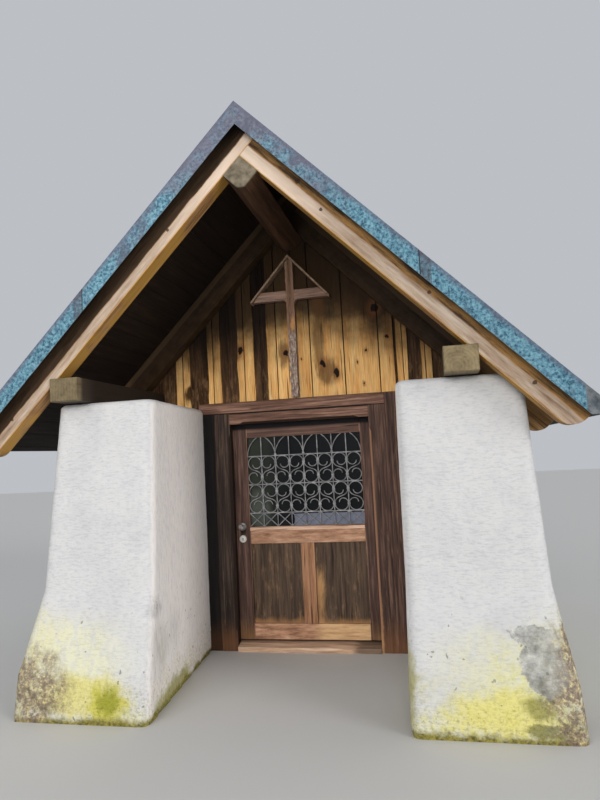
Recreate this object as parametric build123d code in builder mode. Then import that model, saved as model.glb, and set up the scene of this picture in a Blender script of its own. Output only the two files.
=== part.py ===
from build123d import *
from math import acos, asin, cos, degrees, radians, sin, tan
import os

os.makedirs("parts", exist_ok=True)

# Small wayside chapel: thick plastered walls that run forward as two wings,
# a steep copper roof on heavy rafters over a porch, and a timber front with
# one door. Millimetres, X to the right, Y to the back, Z up from the ground.

# Roof
roof_pitch = 45.4
rafter_seat = 132.0
rafter_depth = 160.0
rafter_width = 110.0
rafter_length = 2464.0
rafter_end_round = 100.0
deck_thickness = 32.0
deck_reach = 1870.0
sheet_thickness = 6.0
seam_height = 25.0
seam_width = 10.0
seam_spacing = 440.0
seam_start = 150.0
ridge_half = 108.0
ridge_flat = 45.0
ridge_proud = 8.0
purlin_inner = 1100.0
purlin_width = 188.0
purlin_height = 146.0
purlin_proud = 12.0
purlin_edge = 6.0
cap_width = 110.0
cap_thickness = 4.0

# Verge and eaves flashings
flashing_thickness = 4.0
flashing_low = 113.0
flashing_high = 213.0
flashing_gap = 74.0
flashing_cover = 119.0
eave_drip = 2.0

# Walls
wall_height = 1870.0
wing_front = 1100.0
left_outer = 1343.0
right_outer = 1529.0
left_inner_front = 680.0
right_inner_front = 817.0
left_inner_door = 765.0
right_inner_door = 790.0
room_half = 800.0
room_depth = 1400.0
rear_wall_top = 300.0
left_flare = 175.0
right_flare = 138.0
rear_flare = 168.0
front_flare = 262.0
left_inner_flare = 45.0
right_inner_flare = 18.0
wall_corner = 60.0
wall_edge = 26.0
flare_profile = ((0.0, 1.0), (250.0, 0.91), (480.0, 0.64), (720.0, 0.37))
edge_profile = ((26.0, 0.0), (8.0, 0.3), (0.0, 1.0))
floor_thickness = 50.0

# Where the rafter pairs stand, measured back from the door frame's front
gable_board_front = 12.0
gable_thickness = 30.0
front_rafter = -1245.0
middle_rafter = 800.0
rear_gable_back = 1640.0
rear_rafter = 1790.0

# Door frame
frame_depth = 120.0
post_inner = 673.0
opening_half = 547.0
opening_height = 1733.0
head_height = 85.0
lintel_height = 90.0
lip_depth = 70.0
rebate = 17.0
threshold_front = 36.0
threshold_back = 62.0
threshold_proud = 20.0
frame_chamfer = 20.0
chamfer_end = 1.0
chamfer_stop = 110.0
chamfer_runout = 40.0

# Door leaf
leaf_gap = 5.0
leaf_thickness = 45.0
leaf_bottom = 70.0
lock_stile = 125.0
hinge_stile = 92.0
bottom_rail = 118.0
mid_rail = 130.0
top_rail = 123.0
window_height = 697.0
muntin_width = 105.0
panel_thickness = 20.0
panel_back = 10.0
glass_thickness = 4.0
glass_back = 14.0
sill_height = 30.0
sill_proud = 14.0
sill_slope = 8.0

# Lock
lock_offset = 62.0
knob_rise = 5.0
knob_radius = 25.0
knob_reach = 62.0
knob_neck = 11.0
knob_ball = 26.0
rose_radius = 30.0
rose_thickness = 8.0
rosette_drop = 90.0
rosette_radius = 28.5
rosette_thickness = 10.0

# Hinges
hinge_foot = 290.0
hinge_head = 305.0
knuckle_radius = 11.0
knuckle_length = 60.0
knuckle_gap = 1.0
pin_radius = 6.0
pin_length = 50.0
pin_clearance = 0.3
pivot_back = 8.0
plate_thickness = 4.0
plate_width = 45.0

# Window grille
grille_bar = 9.0
grille_strip = 6.0
grille_depth = 9.0
grille_front = 3.0
cells = 8
arch_height = 148.0
arch_opening = 33.0
saltire_height = 105.0
scroll_gap = 4.0
curl_share = 0.76
collar_width = 20.0
collar_height = 36.0
scroll_sides = 6
curl_sides = 2
arch_sides = 3

# Cross on the gable
cross_foot = 7.0
cross_gap = 43.0
cross_width = 64.0
cross_depth = 50.0
arm_drop = 293.0
arm_height = 72.0
bracket = 34.0
slat_thickness = 14.0
slat_depth = 80.0
slat_length = 465.0
slat_pitch = 48.0

# Values worked out from the driving dimensions
rise = tan(radians(roof_pitch))
up = 1.0 / cos(radians(roof_pitch))
rafter_apex = wall_height + purlin_height + rise * (purlin_inner + rafter_seat)
deck_low = rafter_depth
deck_high = deck_low + deck_thickness
sheet_high = deck_high + sheet_thickness
sheet_reach = deck_reach + flashing_thickness
eave_low = rafter_apex + deck_low * up - rise * deck_reach - eave_drip
purlin_outer = purlin_inner + purlin_width
lintel_bottom = opening_height + head_height
lintel_top = lintel_bottom + lintel_height
deck_front = front_rafter - flashing_gap
deck_back = rear_rafter + rafter_width + flashing_gap
rear_outer = room_depth + rear_wall_top
front_most = wing_front + front_flare
rear_most = deck_back + flashing_thickness
door_plane = (front_most - rear_most) / 2.0


def at_depth(depth):
    """Y of a place measured back from the door frame's front."""
    return door_plane + depth


def elevation(depth):
    """Sketch plane with X to the right and Z up; a positive extrude comes forward."""
    return Plane.XZ.offset(-at_depth(depth))


def roof_line(x, square_height):
    """Height over x of a roof layer, at a height square to the rafters' undersides."""
    return rafter_apex + square_height * up - rise * abs(x)


def save(part, name):
    part.label = name
    export_step(part, f"parts/{name}.step")


# Rafter pairs: the left one runs through at the ridge, the right one butts against it
end_x = rafter_length * cos(radians(roof_pitch))
end_z = rafter_apex - rafter_length * sin(radians(roof_pitch))
tip_x = end_x + rafter_depth * sin(radians(roof_pitch))
tip_z = end_z + rafter_depth * cos(radians(roof_pitch))
butt_x = rafter_depth * up / (2.0 * rise)
butt_z = rafter_apex + rafter_depth * up / 2.0
rafter_depths = (
    front_rafter,
    gable_board_front - rafter_width,
    middle_rafter,
    rear_rafter,
)
rafter_nodes = {}
for side, name in ((-1, "left"), (1, "right")):
    ridge_points = [(butt_x, butt_z)]
    if side < 0:
        ridge_points.append((0, roof_line(0, rafter_depth)))
    with BuildPart() as rafters:
        for depth in rafter_depths:
            with BuildSketch(elevation(depth + rafter_width)) as rafter_face:
                with BuildLine():
                    Polyline(
                        (0, rafter_apex),
                        *ridge_points,
                        (side * tip_x, tip_z),
                        (side * end_x, end_z),
                        close=True,
                    )
                make_face()
                fillet(rafter_face.vertices().sort_by(Axis.Y)[0], rafter_end_round)
                with Locations((side * (purlin_inner + purlin_width / 2), wall_height + purlin_height / 2)):
                    Rectangle(purlin_width, purlin_height, mode=Mode.SUBTRACT)
            extrude(amount=rafter_width)
    rafter_nodes[name] = rafters
    save(rafters.part, f"{name}_rafters")

# Ridge beam, set on its corner so that the rafters lie flat on it
ridge_drop = rise * ridge_half
flat_z = rafter_apex - 2.0 * ridge_drop + rise * ridge_flat / 2.0
ridge_profile = (
    (0, rafter_apex),
    (ridge_half, rafter_apex - ridge_drop),
    (ridge_flat / 2.0, flat_z),
    (-ridge_flat / 2.0, flat_z),
    (-ridge_half, rafter_apex - ridge_drop),
)
ridge_length = rear_rafter + rafter_width - front_rafter + 2.0 * ridge_proud
with BuildPart() as ridge_beam:
    with BuildSketch(elevation(rear_rafter + rafter_width + ridge_proud)):
        with BuildLine():
            Polyline(*ridge_profile, close=True)
        make_face()
    extrude(amount=ridge_length)
save(ridge_beam.part, "ridge_beam")

# Wall plates along the tops of the side walls, with their ends in front of the rafters
purlin_length = rear_rafter + rafter_width - front_rafter + 2.0 * purlin_proud
for side, name in ((-1, "left"), (1, "right")):
    with BuildPart() as purlin:
        with BuildSketch(elevation(rear_rafter + rafter_width + purlin_proud)):
            with Locations((side * (purlin_inner + purlin_width / 2), wall_height + purlin_height / 2)):
                Rectangle(purlin_width, purlin_height)
        extrude(amount=purlin_length)
        chamfer(purlin.faces().sort_by(Axis.Y)[0].edges(), purlin_edge)
    save(purlin.part, f"{name}_wall_plate")

# Wing walls and side walls: flared at the foot, rounded at the corners and the top edge
wall_levels = [(height, share, 0.0) for height, share in flare_profile]
wall_levels += [(wall_height - drop, 0.0, inset * wall_edge) for drop, inset in edge_profile]
for side, name, outer, side_flare, inner_front, inner_door, inner_flare in (
    (-1, "left", left_outer, left_flare, left_inner_front, left_inner_door, left_inner_flare),
    (1, "right", right_outer, right_flare, right_inner_front, right_inner_door, right_inner_flare),
):
    with BuildPart() as wing:
        for height, share, inset in wall_levels:
            face_x = side * (outer + side_flare * share - inset)
            face_y = at_depth(-wing_front - front_flare * share + inset)
            porch_x = side * (inner_front - inner_flare * share + inset)
            door_x = side * (inner_door + inset)
            with BuildSketch(Plane.XY.offset(height)) as section:
                with BuildLine():
                    Polyline(
                        (face_x, at_depth(0)),
                        (face_x, face_y),
                        (porch_x, face_y),
                        (door_x, at_depth(0)),
                        close=True,
                    )
                make_face()
                fillet(section.vertices().group_by(Axis.Y)[0], wall_corner)
        loft(ruled=True)
        add(rafter_nodes[name].part, mode=Mode.SUBTRACT)
    save(wing.part, f"{name}_wing_wall")

    with BuildPart() as side_wall:
        for height, share, inset in wall_levels:
            face_x = side * (outer + side_flare * share - inset)
            rear_y = at_depth(rear_outer + rear_flare * share - inset)
            with BuildSketch(Plane.XY.offset(height)) as section:
                with BuildLine():
                    Polyline(
                        (face_x, at_depth(0)),
                        (face_x, rear_y),
                        (side * room_half, rear_y),
                        (side * room_half, at_depth(0)),
                        close=True,
                    )
                make_face()
                corners = section.vertices().group_by(Axis.Y)[-1].sort_by(Axis.X)
                fillet(corners[0] if side < 0 else corners[-1], wall_corner)
        loft(ruled=True)
        add(rafter_nodes[name].part, mode=Mode.SUBTRACT)
    save(side_wall.part, f"{name}_side_wall")

# Rear wall between the side walls, with the same flare
with BuildPart() as rear_wall:
    with BuildSketch(Plane.YZ):
        with BuildLine():
            Polyline(
                (at_depth(room_depth), 0),
                *[
                    (at_depth(rear_outer + rear_flare * share - inset), height)
                    for height, share, inset in wall_levels
                ],
                (at_depth(room_depth), wall_height),
                close=True,
            )
        make_face()
    extrude(amount=room_half, both=True)
save(rear_wall.part, "rear_wall")

# Floor of the room
with BuildPart() as floor:
    with BuildSketch(Plane.XY):
        with BuildLine():
            Polyline(
                (-room_half, at_depth(frame_depth)),
                (room_half, at_depth(frame_depth)),
                (room_half, at_depth(room_depth)),
                (-room_half, at_depth(room_depth)),
                close=True,
            )
        make_face()
    extrude(amount=floor_thickness)
save(floor.part, "floor")

# Boarded gables over the front, down to the lintel, and over the rear wall
door_notch = (
    (-room_half, wall_height),
    (-room_half, lintel_top),
    (room_half, lintel_top),
    (room_half, wall_height),
)
for name, back, notch in (
    ("front_gable", gable_board_front + gable_thickness, door_notch),
    ("rear_gable", rear_gable_back, ()),
):
    with BuildPart() as gable:
        with BuildSketch(elevation(back)):
            with BuildLine():
                Polyline(
                    (-purlin_outer, wall_height),
                    *notch,
                    (purlin_outer, wall_height),
                    (purlin_outer, roof_line(purlin_outer, rafter_depth)),
                    (0, roof_line(0, rafter_depth)),
                    (-purlin_outer, roof_line(purlin_outer, rafter_depth)),
                    close=True,
                )
            make_face()
            with BuildLine():
                Polyline(*ridge_profile, close=True)
            make_face(mode=Mode.SUBTRACT)
            for side in (-1, 1):
                with Locations((side * (purlin_inner + purlin_width / 2), wall_height + purlin_height / 2)):
                    Rectangle(purlin_width, purlin_height, mode=Mode.SUBTRACT)
        extrude(amount=gable_thickness)
    save(gable.part, name)

# Roof boarding, copper covering with standing seams, and flashings
seam_count = int((deck_back - deck_front - 2 * flashing_cover) // seam_spacing)
seam_middle = (deck_front + deck_back) / 2.0
for side, name in ((-1, "left"), (1, "right")):
    with BuildPart() as deck:
        with BuildSketch(elevation(deck_back)):
            with BuildLine():
                Polyline(
                    (0, roof_line(0, deck_low)),
                    (side * deck_reach, roof_line(deck_reach, deck_low)),
                    (side * deck_reach, roof_line(deck_reach, deck_high)),
                    (0, roof_line(0, deck_high)),
                    close=True,
                )
            make_face()
        extrude(amount=deck_back - deck_front)
    save(deck.part, f"{name}_roof_boards")

    with BuildPart() as sheet:
        with BuildSketch(elevation(deck_back)):
            with BuildLine():
                Polyline(
                    (0, roof_line(0, deck_high)),
                    (side * sheet_reach, roof_line(sheet_reach, deck_high)),
                    (side * sheet_reach, roof_line(sheet_reach, sheet_high)),
                    (0, roof_line(0, sheet_high)),
                    close=True,
                )
            make_face()
        extrude(amount=deck_back - deck_front)
        for index in range(seam_count + 1):
            seam_depth = seam_middle + (index - seam_count / 2.0) * seam_spacing
            with BuildSketch(elevation(seam_depth + seam_width / 2.0)):
                with BuildLine():
                    Polyline(
                        (side * seam_start, roof_line(seam_start, sheet_high)),
                        (side * sheet_reach, roof_line(sheet_reach, sheet_high)),
                        (side * sheet_reach, roof_line(sheet_reach, sheet_high + seam_height)),
                        (side * seam_start, roof_line(seam_start, sheet_high + seam_height)),
                        close=True,
                    )
                make_face()
            extrude(amount=seam_width)
    save(sheet.part, f"{name}_roof_sheet")

    with BuildPart() as eaves:
        with BuildSketch(elevation(deck_back)):
            with BuildLine():
                Polyline(
                    (side * deck_reach, eave_low),
                    (side * sheet_reach, eave_low),
                    (side * sheet_reach, roof_line(sheet_reach, deck_high)),
                    (side * deck_reach, roof_line(deck_reach, deck_high)),
                    close=True,
                )
            make_face()
        extrude(amount=deck_back - deck_front)
    save(eaves.part, f"{name}_eaves_flashing")

    with BuildPart() as verge:
        turn_x = (roof_line(0, flashing_low) - eave_low) / rise
        for front_face, top_front, leg_front in (
            (deck_front - flashing_thickness, deck_front, deck_front + flashing_cover - flashing_thickness),
            (deck_back, deck_back - flashing_cover, deck_back - flashing_cover),
        ):
            with BuildSketch(elevation(front_face + flashing_thickness)):
                with BuildLine():
                    Polyline(
                        (0, roof_line(0, flashing_low)),
                        (side * turn_x, eave_low),
                        (side * sheet_reach, eave_low),
                        (side * sheet_reach, roof_line(sheet_reach, flashing_high)),
                        (0, roof_line(0, flashing_high)),
                        close=True,
                    )
                make_face()
            extrude(amount=flashing_thickness)
            with BuildSketch(elevation(top_front + flashing_cover)):
                with BuildLine():
                    Polyline(
                        (0, roof_line(0, flashing_high - flashing_thickness)),
                        (side * sheet_reach, roof_line(sheet_reach, flashing_high - flashing_thickness)),
                        (side * sheet_reach, roof_line(sheet_reach, flashing_high)),
                        (0, roof_line(0, flashing_high)),
                        close=True,
                    )
                make_face()
            extrude(amount=flashing_cover)
            with BuildSketch(elevation(leg_front + flashing_thickness)):
                with BuildLine():
                    Polyline(
                        (0, roof_line(0, sheet_high)),
                        (side * sheet_reach, roof_line(sheet_reach, sheet_high)),
                        (side * sheet_reach, roof_line(sheet_reach, flashing_high)),
                        (0, roof_line(0, flashing_high)),
                        close=True,
                    )
                make_face()
            extrude(amount=flashing_thickness)
    save(verge.part, f"{name}_verge_flashing")

with BuildPart() as ridge_cap:
    with BuildSketch(elevation(deck_back - flashing_cover)):
        with BuildLine():
            Polyline(
                (-cap_width, roof_line(cap_width, sheet_high)),
                (0, roof_line(0, sheet_high)),
                (cap_width, roof_line(cap_width, sheet_high)),
                (cap_width, roof_line(cap_width, sheet_high + cap_thickness)),
                (0, roof_line(0, sheet_high + cap_thickness)),
                (-cap_width, roof_line(cap_width, sheet_high + cap_thickness)),
                close=True,
            )
        make_face()
    extrude(amount=deck_back - deck_front - 2 * flashing_cover)
save(ridge_cap.part, "ridge_cap")

# Door frame: outer posts and lintel, with two jambs inside them and the head between the jambs
for name, left, right, top in (
    ("left_post", -room_half, -post_inner, lintel_bottom),
    ("right_post", post_inner, room_half, lintel_top),
):
    with BuildPart() as post:
        with BuildSketch(elevation(frame_depth)):
            with Locations((left, 0)):
                Rectangle(right - left, top, align=(Align.MIN, Align.MIN))
        extrude(amount=frame_depth)
    save(post.part, name)

with BuildPart() as lintel:
    with BuildSketch(elevation(frame_depth)):
        with Locations((-room_half, lintel_bottom)):
            Rectangle(room_half + post_inner, lintel_top - lintel_bottom, align=(Align.MIN, Align.MIN))
    extrude(amount=frame_depth)
save(lintel.part, "lintel")

# The inner edges have chamfers that stop short of the corners and run out there
rebate_half = opening_half + rebate
head_stop = opening_half - chamfer_stop
with BuildPart() as door_head:
    with BuildSketch(elevation(lip_depth)):
        with Locations((0, lintel_bottom)):
            Rectangle(2 * opening_half, head_height, align=(Align.CENTER, Align.MAX))
    extrude(amount=lip_depth)
    with BuildSketch(elevation(frame_depth)):
        with Locations((0, lintel_bottom)):
            Rectangle(2 * rebate_half, head_height - rebate, align=(Align.CENTER, Align.MAX))
    extrude(amount=frame_depth - lip_depth)
    for x, cut in (
        (-head_stop - chamfer_runout, chamfer_end),
        (-head_stop, frame_chamfer),
        (head_stop, frame_chamfer),
        (head_stop + chamfer_runout, chamfer_end),
    ):
        with BuildSketch(Plane.YZ.offset(x)):
            with BuildLine():
                Polyline(
                    (at_depth(0), opening_height),
                    (at_depth(cut), opening_height),
                    (at_depth(0), opening_height + cut),
                    close=True,
                )
            make_face()
    loft(ruled=True, mode=Mode.SUBTRACT)
save(door_head.part, "door_head")

for side, name in ((-1, "left"), (1, "right")):
    with BuildPart() as jamb:
        with BuildSketch(Plane.XY):
            with BuildLine():
                Polyline(
                    (side * opening_half, at_depth(0)),
                    (side * post_inner, at_depth(0)),
                    (side * post_inner, at_depth(frame_depth)),
                    (side * rebate_half, at_depth(frame_depth)),
                    (side * rebate_half, at_depth(lip_depth)),
                    (side * opening_half, at_depth(lip_depth)),
                    close=True,
                )
            make_face()
        extrude(amount=lintel_bottom)
        for height, cut in (
            (threshold_back + chamfer_stop - chamfer_runout, chamfer_end),
            (threshold_back + chamfer_stop, frame_chamfer),
            (opening_height - chamfer_stop, frame_chamfer),
            (opening_height - chamfer_stop + chamfer_runout, chamfer_end),
        ):
            with BuildSketch(Plane.XY.offset(height)):
                with BuildLine():
                    Polyline(
                        (side * opening_half, at_depth(0)),
                        (side * (opening_half + cut), at_depth(0)),
                        (side * opening_half, at_depth(cut)),
                        close=True,
                    )
                make_face()
        loft(ruled=True, mode=Mode.SUBTRACT)
    save(jamb.part, f"{name}_jamb")

with BuildPart() as threshold:
    with BuildSketch(Plane.YZ):
        with BuildLine():
            Polyline(
                (at_depth(-threshold_proud), 0),
                (at_depth(frame_depth), 0),
                (at_depth(frame_depth), threshold_back),
                (at_depth(lip_depth), threshold_back),
                (at_depth(-threshold_proud), threshold_front),
                close=True,
            )
        make_face()
    extrude(amount=opening_half, both=True)
save(threshold.part, "threshold")

# Door leaf: two stiles, three rails, a muntin, two panels and a window with a weather sill
leaf_half = rebate_half - leaf_gap
leaf_top = opening_height + rebate - leaf_gap
leaf_front = lip_depth + leaf_gap
leaf_back = leaf_front + leaf_thickness
clear_left = -leaf_half + lock_stile
clear_right = leaf_half - hinge_stile
clear_middle = (clear_left + clear_right) / 2.0
clear_width = clear_right - clear_left
rail_bottom_top = leaf_bottom + bottom_rail
glass_high = leaf_top - top_rail
glass_low = glass_high - window_height
mid_rail_low = glass_low - mid_rail

with BuildPart() as door_stiles:
    with BuildSketch(elevation(leaf_back)):
        with Locations((-leaf_half, leaf_bottom)):
            Rectangle(lock_stile, leaf_top - leaf_bottom, align=(Align.MIN, Align.MIN))
        with Locations((leaf_half, leaf_bottom)):
            Rectangle(hinge_stile, leaf_top - leaf_bottom, align=(Align.MAX, Align.MIN))
    extrude(amount=leaf_thickness)
save(door_stiles.part, "door_stiles")

with BuildPart() as door_rails:
    with BuildSketch(elevation(leaf_back)):
        for low, high in (
            (leaf_bottom, rail_bottom_top),
            (mid_rail_low, glass_low),
            (glass_high, leaf_top),
        ):
            with Locations((clear_middle, low)):
                Rectangle(clear_width, high - low, align=(Align.CENTER, Align.MIN))
    extrude(amount=leaf_thickness)
save(door_rails.part, "door_rails")

with BuildPart() as door_muntin:
    with BuildSketch(elevation(leaf_back)):
        with Locations((clear_middle, rail_bottom_top)):
            Rectangle(muntin_width, mid_rail_low - rail_bottom_top, align=(Align.CENTER, Align.MIN))
    extrude(amount=leaf_thickness)
save(door_muntin.part, "door_muntin")

panel_width = (clear_width - muntin_width) / 2.0
with BuildPart() as door_panels:
    with BuildSketch(elevation(leaf_back - panel_back)):
        for side in (-1, 1):
            with Locations((clear_middle + side * (muntin_width + panel_width) / 2.0, rail_bottom_top)):
                Rectangle(panel_width, mid_rail_low - rail_bottom_top, align=(Align.CENTER, Align.MIN))
    extrude(amount=panel_thickness)
save(door_panels.part, "door_panels")

with BuildPart() as door_glass:
    with BuildSketch(elevation(leaf_back - glass_back)):
        with Locations((clear_middle, glass_low)):
            Rectangle(clear_width, glass_high - glass_low, align=(Align.CENTER, Align.MIN))
    extrude(amount=glass_thickness)
save(door_glass.part, "door_glass")

with BuildPart() as window_sill:
    with BuildSketch(Plane.YZ.offset(clear_left)):
        with BuildLine():
            Polyline(
                (at_depth(leaf_front), glass_low - sill_height),
                (at_depth(leaf_front - sill_proud), glass_low - sill_height),
                (at_depth(leaf_front - sill_proud), glass_low - sill_slope),
                (at_depth(leaf_front), glass_low),
                close=True,
            )
        make_face()
    extrude(amount=clear_width)
save(window_sill.part, "window_sill")

# Wrought-iron window grille: bars with arches, two rows of scrolls and saltires between them
cell = clear_width / cells
arch_row = glass_high - arch_height
cross_row = glass_low + saltire_height
heart_row = (arch_row + cross_row) / 2.0
scroll_half = (arch_row - heart_row) / 2.0
scroll_radius = cell / 2.0 - scroll_gap
scroll_rise = scroll_half - scroll_radius - grille_strip / 2.0
scroll_fall = degrees(acos(scroll_radius / scroll_rise))
arch_run = cell - arch_opening
arch_radius = (arch_run**2 + arch_height**2) / (2.0 * arch_run)
arch_sweep = degrees(asin(arch_height / arch_radius))


def arc_path(x, z, radius, start, sweep, sides):
    """Points along an arc, each with the direction square to the path."""
    path = []
    for side in range(sides + 1):
        angle = radians(start + sweep * side / sides)
        path.append((x + radius * cos(angle), z + radius * sin(angle), cos(angle), sin(angle)))
    return path


def strip(path):
    """Flat iron bent along a path of points and directions square to it."""
    half = grille_strip / 2.0
    with BuildLine() as outline:
        Polyline(
            *[(x + half * across_x, z + half * across_z) for x, z, across_x, across_z in path],
            *[(x - half * across_x, z - half * across_z) for x, z, across_x, across_z in reversed(path)],
            close=True,
        )
    make_face(outline.edges())


def scroll(x, height, turn):
    """S of two spirals about a cell's middle, running down to the right or, with turn -1, to the left."""
    curl = curl_share * scroll_radius
    inner = curl_share * curl
    upper = arc_path(scroll_radius - curl, scroll_rise - curl + inner, inner, -180.0, 90.0, curl_sides)
    upper += arc_path(scroll_radius - curl, scroll_rise, curl, -90.0, 90.0, curl_sides)[1:]
    upper += arc_path(0.0, scroll_rise, scroll_radius, 0.0, 270.0 - scroll_fall, scroll_sides)[1:]
    lower = [(-px, -pz, across_x, across_z) for px, pz, across_x, across_z in reversed(upper)]
    path = upper + lower
    strip([(x + turn * px, height + pz, turn * across_x, across_z) for px, pz, across_x, across_z in path])


with BuildPart() as door_grille:
    with BuildSketch(elevation(leaf_front + grille_front + grille_depth)):
        for index in range(1, cells):
            with Locations((clear_left + index * cell, glass_low)):
                Rectangle(grille_bar, window_height, align=(Align.CENTER, Align.MIN))
            for row in ((arch_row + heart_row) / 2.0, (heart_row + cross_row) / 2.0):
                for level in (row - scroll_rise, row + scroll_rise):
                    with Locations((clear_left + index * cell, level)):
                        Rectangle(collar_width, collar_height)
        for height in (arch_row, heart_row, cross_row):
            with Locations((clear_middle, height)):
                Rectangle(clear_width, grille_bar)
        for index in range(cells):
            middle = clear_left + (index + 0.5) * cell
            turn = 1 if index % 2 == 0 else -1
            scroll(middle, (arch_row + heart_row) / 2.0, turn)
            scroll(middle, (heart_row + cross_row) / 2.0, -turn)
            arch_x = middle + turn * (arch_radius - cell / 2.0)
            strip(arc_path(arch_x, arch_row, arch_radius, 90.0 + turn * 90.0, -turn * arch_sweep, arch_sides))
            with BuildLine():
                Line((middle - cell / 2.0, cross_row), (middle + cell / 2.0, glass_low))
                Line((middle - cell / 2.0, glass_low), (middle + cell / 2.0, cross_row))
            trace(line_width=grille_strip)
        with Locations((clear_middle, glass_low)):
            Rectangle(clear_width, window_height, align=(Align.CENTER, Align.MIN), mode=Mode.INTERSECT)
    extrude(amount=grille_depth)
save(door_grille.part, "door_grille")

# Lock: a round knob on a rose, and the round rosette of the lock cylinder below
lock_x = -leaf_half + lock_offset
knob_height = glass_low + knob_rise
rosette_height = glass_low - rosette_drop
with BuildPart() as door_knob:
    with BuildSketch(Plane.YZ.offset(lock_x)):
        with BuildLine():
            Polyline(
                (at_depth(leaf_front), knob_height),
                (at_depth(leaf_front), knob_height + rose_radius),
                (at_depth(leaf_front - rose_thickness), knob_height + knob_neck),
                (at_depth(leaf_front - knob_reach + knob_ball), knob_height + knob_neck),
                (at_depth(leaf_front - knob_reach + knob_ball / 2.0), knob_height + knob_radius),
                (at_depth(leaf_front - knob_reach), knob_height + knob_neck),
                (at_depth(leaf_front - knob_reach), knob_height),
                close=True,
            )
        make_face()
    revolve(axis=Axis((lock_x, 0, knob_height), (0, 1, 0)))
save(door_knob.part, "door_knob")

with BuildPart() as lock_rosette:
    with BuildSketch(elevation(leaf_front)):
        with Locations((lock_x, rosette_height)):
            Circle(rosette_radius)
    extrude(amount=rosette_thickness)
save(lock_rosette.part, "lock_rosette")

# Lift-off hinges on the room side: lower knuckle and pin on the jamb, upper on the leaf
pivot_x = leaf_half + leaf_gap / 2.0
pivot_y = at_depth(leaf_back + pivot_back + plate_thickness)
hinge_heights = (leaf_bottom + hinge_foot, leaf_top - hinge_head)
with BuildPart() as frame_hinges:
    for height in hinge_heights:
        with BuildSketch(Plane.XY.offset(height - knuckle_length)):
            with Locations((pivot_x, pivot_y)):
                Circle(knuckle_radius)
            with Locations((pivot_x, at_depth(frame_depth))):
                Rectangle(plate_width, plate_thickness, align=(Align.MIN, Align.MIN))
        extrude(amount=knuckle_length)
        with BuildSketch(Plane.XY.offset(height)):
            with Locations((pivot_x, pivot_y)):
                Circle(pin_radius)
        extrude(amount=pin_length)
save(frame_hinges.part, "frame_hinges")

with BuildPart() as door_hinges:
    for height in hinge_heights:
        with BuildSketch(Plane.XY.offset(height + knuckle_gap)):
            with Locations((pivot_x, pivot_y)):
                Circle(knuckle_radius)
            with Locations((pivot_x, at_depth(leaf_back))):
                Rectangle(plate_width, plate_thickness, align=(Align.MAX, Align.MIN))
        extrude(amount=knuckle_length)
        with BuildSketch(Plane.XY.offset(height + knuckle_gap)):
            with Locations((pivot_x, pivot_y)):
                Circle(pin_radius + pin_clearance)
        extrude(amount=knuckle_length, mode=Mode.SUBTRACT)
save(door_hinges.part, "door_hinges")

# Cross with its own little roof, on the gable boards; the slats lie on its cut ends
cross_back = gable_board_front
slat_fall = tan(radians(slat_pitch))
slat_up = slat_thickness / cos(radians(slat_pitch))
cross_low = lintel_top + cross_foot
cross_high = flat_z - cross_gap - slat_up
arm_low = cross_high - arm_drop - arm_height / 2.0
arm_high = cross_high - arm_drop + arm_height / 2.0
with BuildPart() as cross_upright:
    with BuildSketch(elevation(cross_back)):
        with BuildLine():
            Polyline(
                (-cross_width / 2.0, cross_low),
                (cross_width / 2.0, cross_low),
                (cross_width / 2.0, cross_high - slat_fall * cross_width / 2.0),
                (0, cross_high),
                (-cross_width / 2.0, cross_high - slat_fall * cross_width / 2.0),
                close=True,
            )
        make_face()
    extrude(amount=cross_depth)
save(cross_upright.part, "cross_upright")

with BuildPart() as cross_arms:
    with BuildSketch(elevation(cross_back)):
        for side in (-1, 1):
            bracket_x = side * (cross_width / 2.0 + bracket)
            with BuildLine():
                CenterArc((bracket_x, arm_low - bracket), bracket, 90.0, side * 90.0)
                Polyline(
                    (bracket_x, arm_low),
                    (side * (cross_high - arm_low) / slat_fall, arm_low),
                    (side * (cross_high - arm_high) / slat_fall, arm_high),
                    (side * cross_width / 2.0, arm_high),
                    (side * cross_width / 2.0, arm_low - bracket),
                )
            make_face()
    extrude(amount=cross_depth)
save(cross_arms.part, "cross_arms")

slat_run = slat_length * cos(radians(slat_pitch))
slat_drop = slat_length * sin(radians(slat_pitch))
with BuildPart() as cross_roof:
    with BuildSketch(elevation(cross_back)):
        with BuildLine():
            Polyline(
                (0, cross_high),
                (slat_run, cross_high - slat_drop),
                (slat_run, cross_high - slat_drop + slat_up),
                (0, cross_high + slat_up),
                (-slat_run, cross_high - slat_drop + slat_up),
                (-slat_run, cross_high - slat_drop),
                close=True,
            )
        make_face()
    extrude(amount=slat_depth)
save(cross_roof.part, "cross_roof")

print("door plane", door_plane, "overall depth", front_most + rear_most)
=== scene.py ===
# %% [markdown]
# # A small wayside chapel
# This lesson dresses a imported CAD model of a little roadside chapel: white plastered walls that spread at
# the foot, a steep copper roof on heavy rafters, an old oak door with a wrought-iron window grille, and a
# cross with its own small roof. The CAD model gives every size. Blender adds what a hand would feel:
# rounded plaster, single boards with their bark edges, hammered scrolls, weather and wear.

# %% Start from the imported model
import math

import bmesh
import bpy
from mathutils import Matrix, Vector, noise


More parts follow.
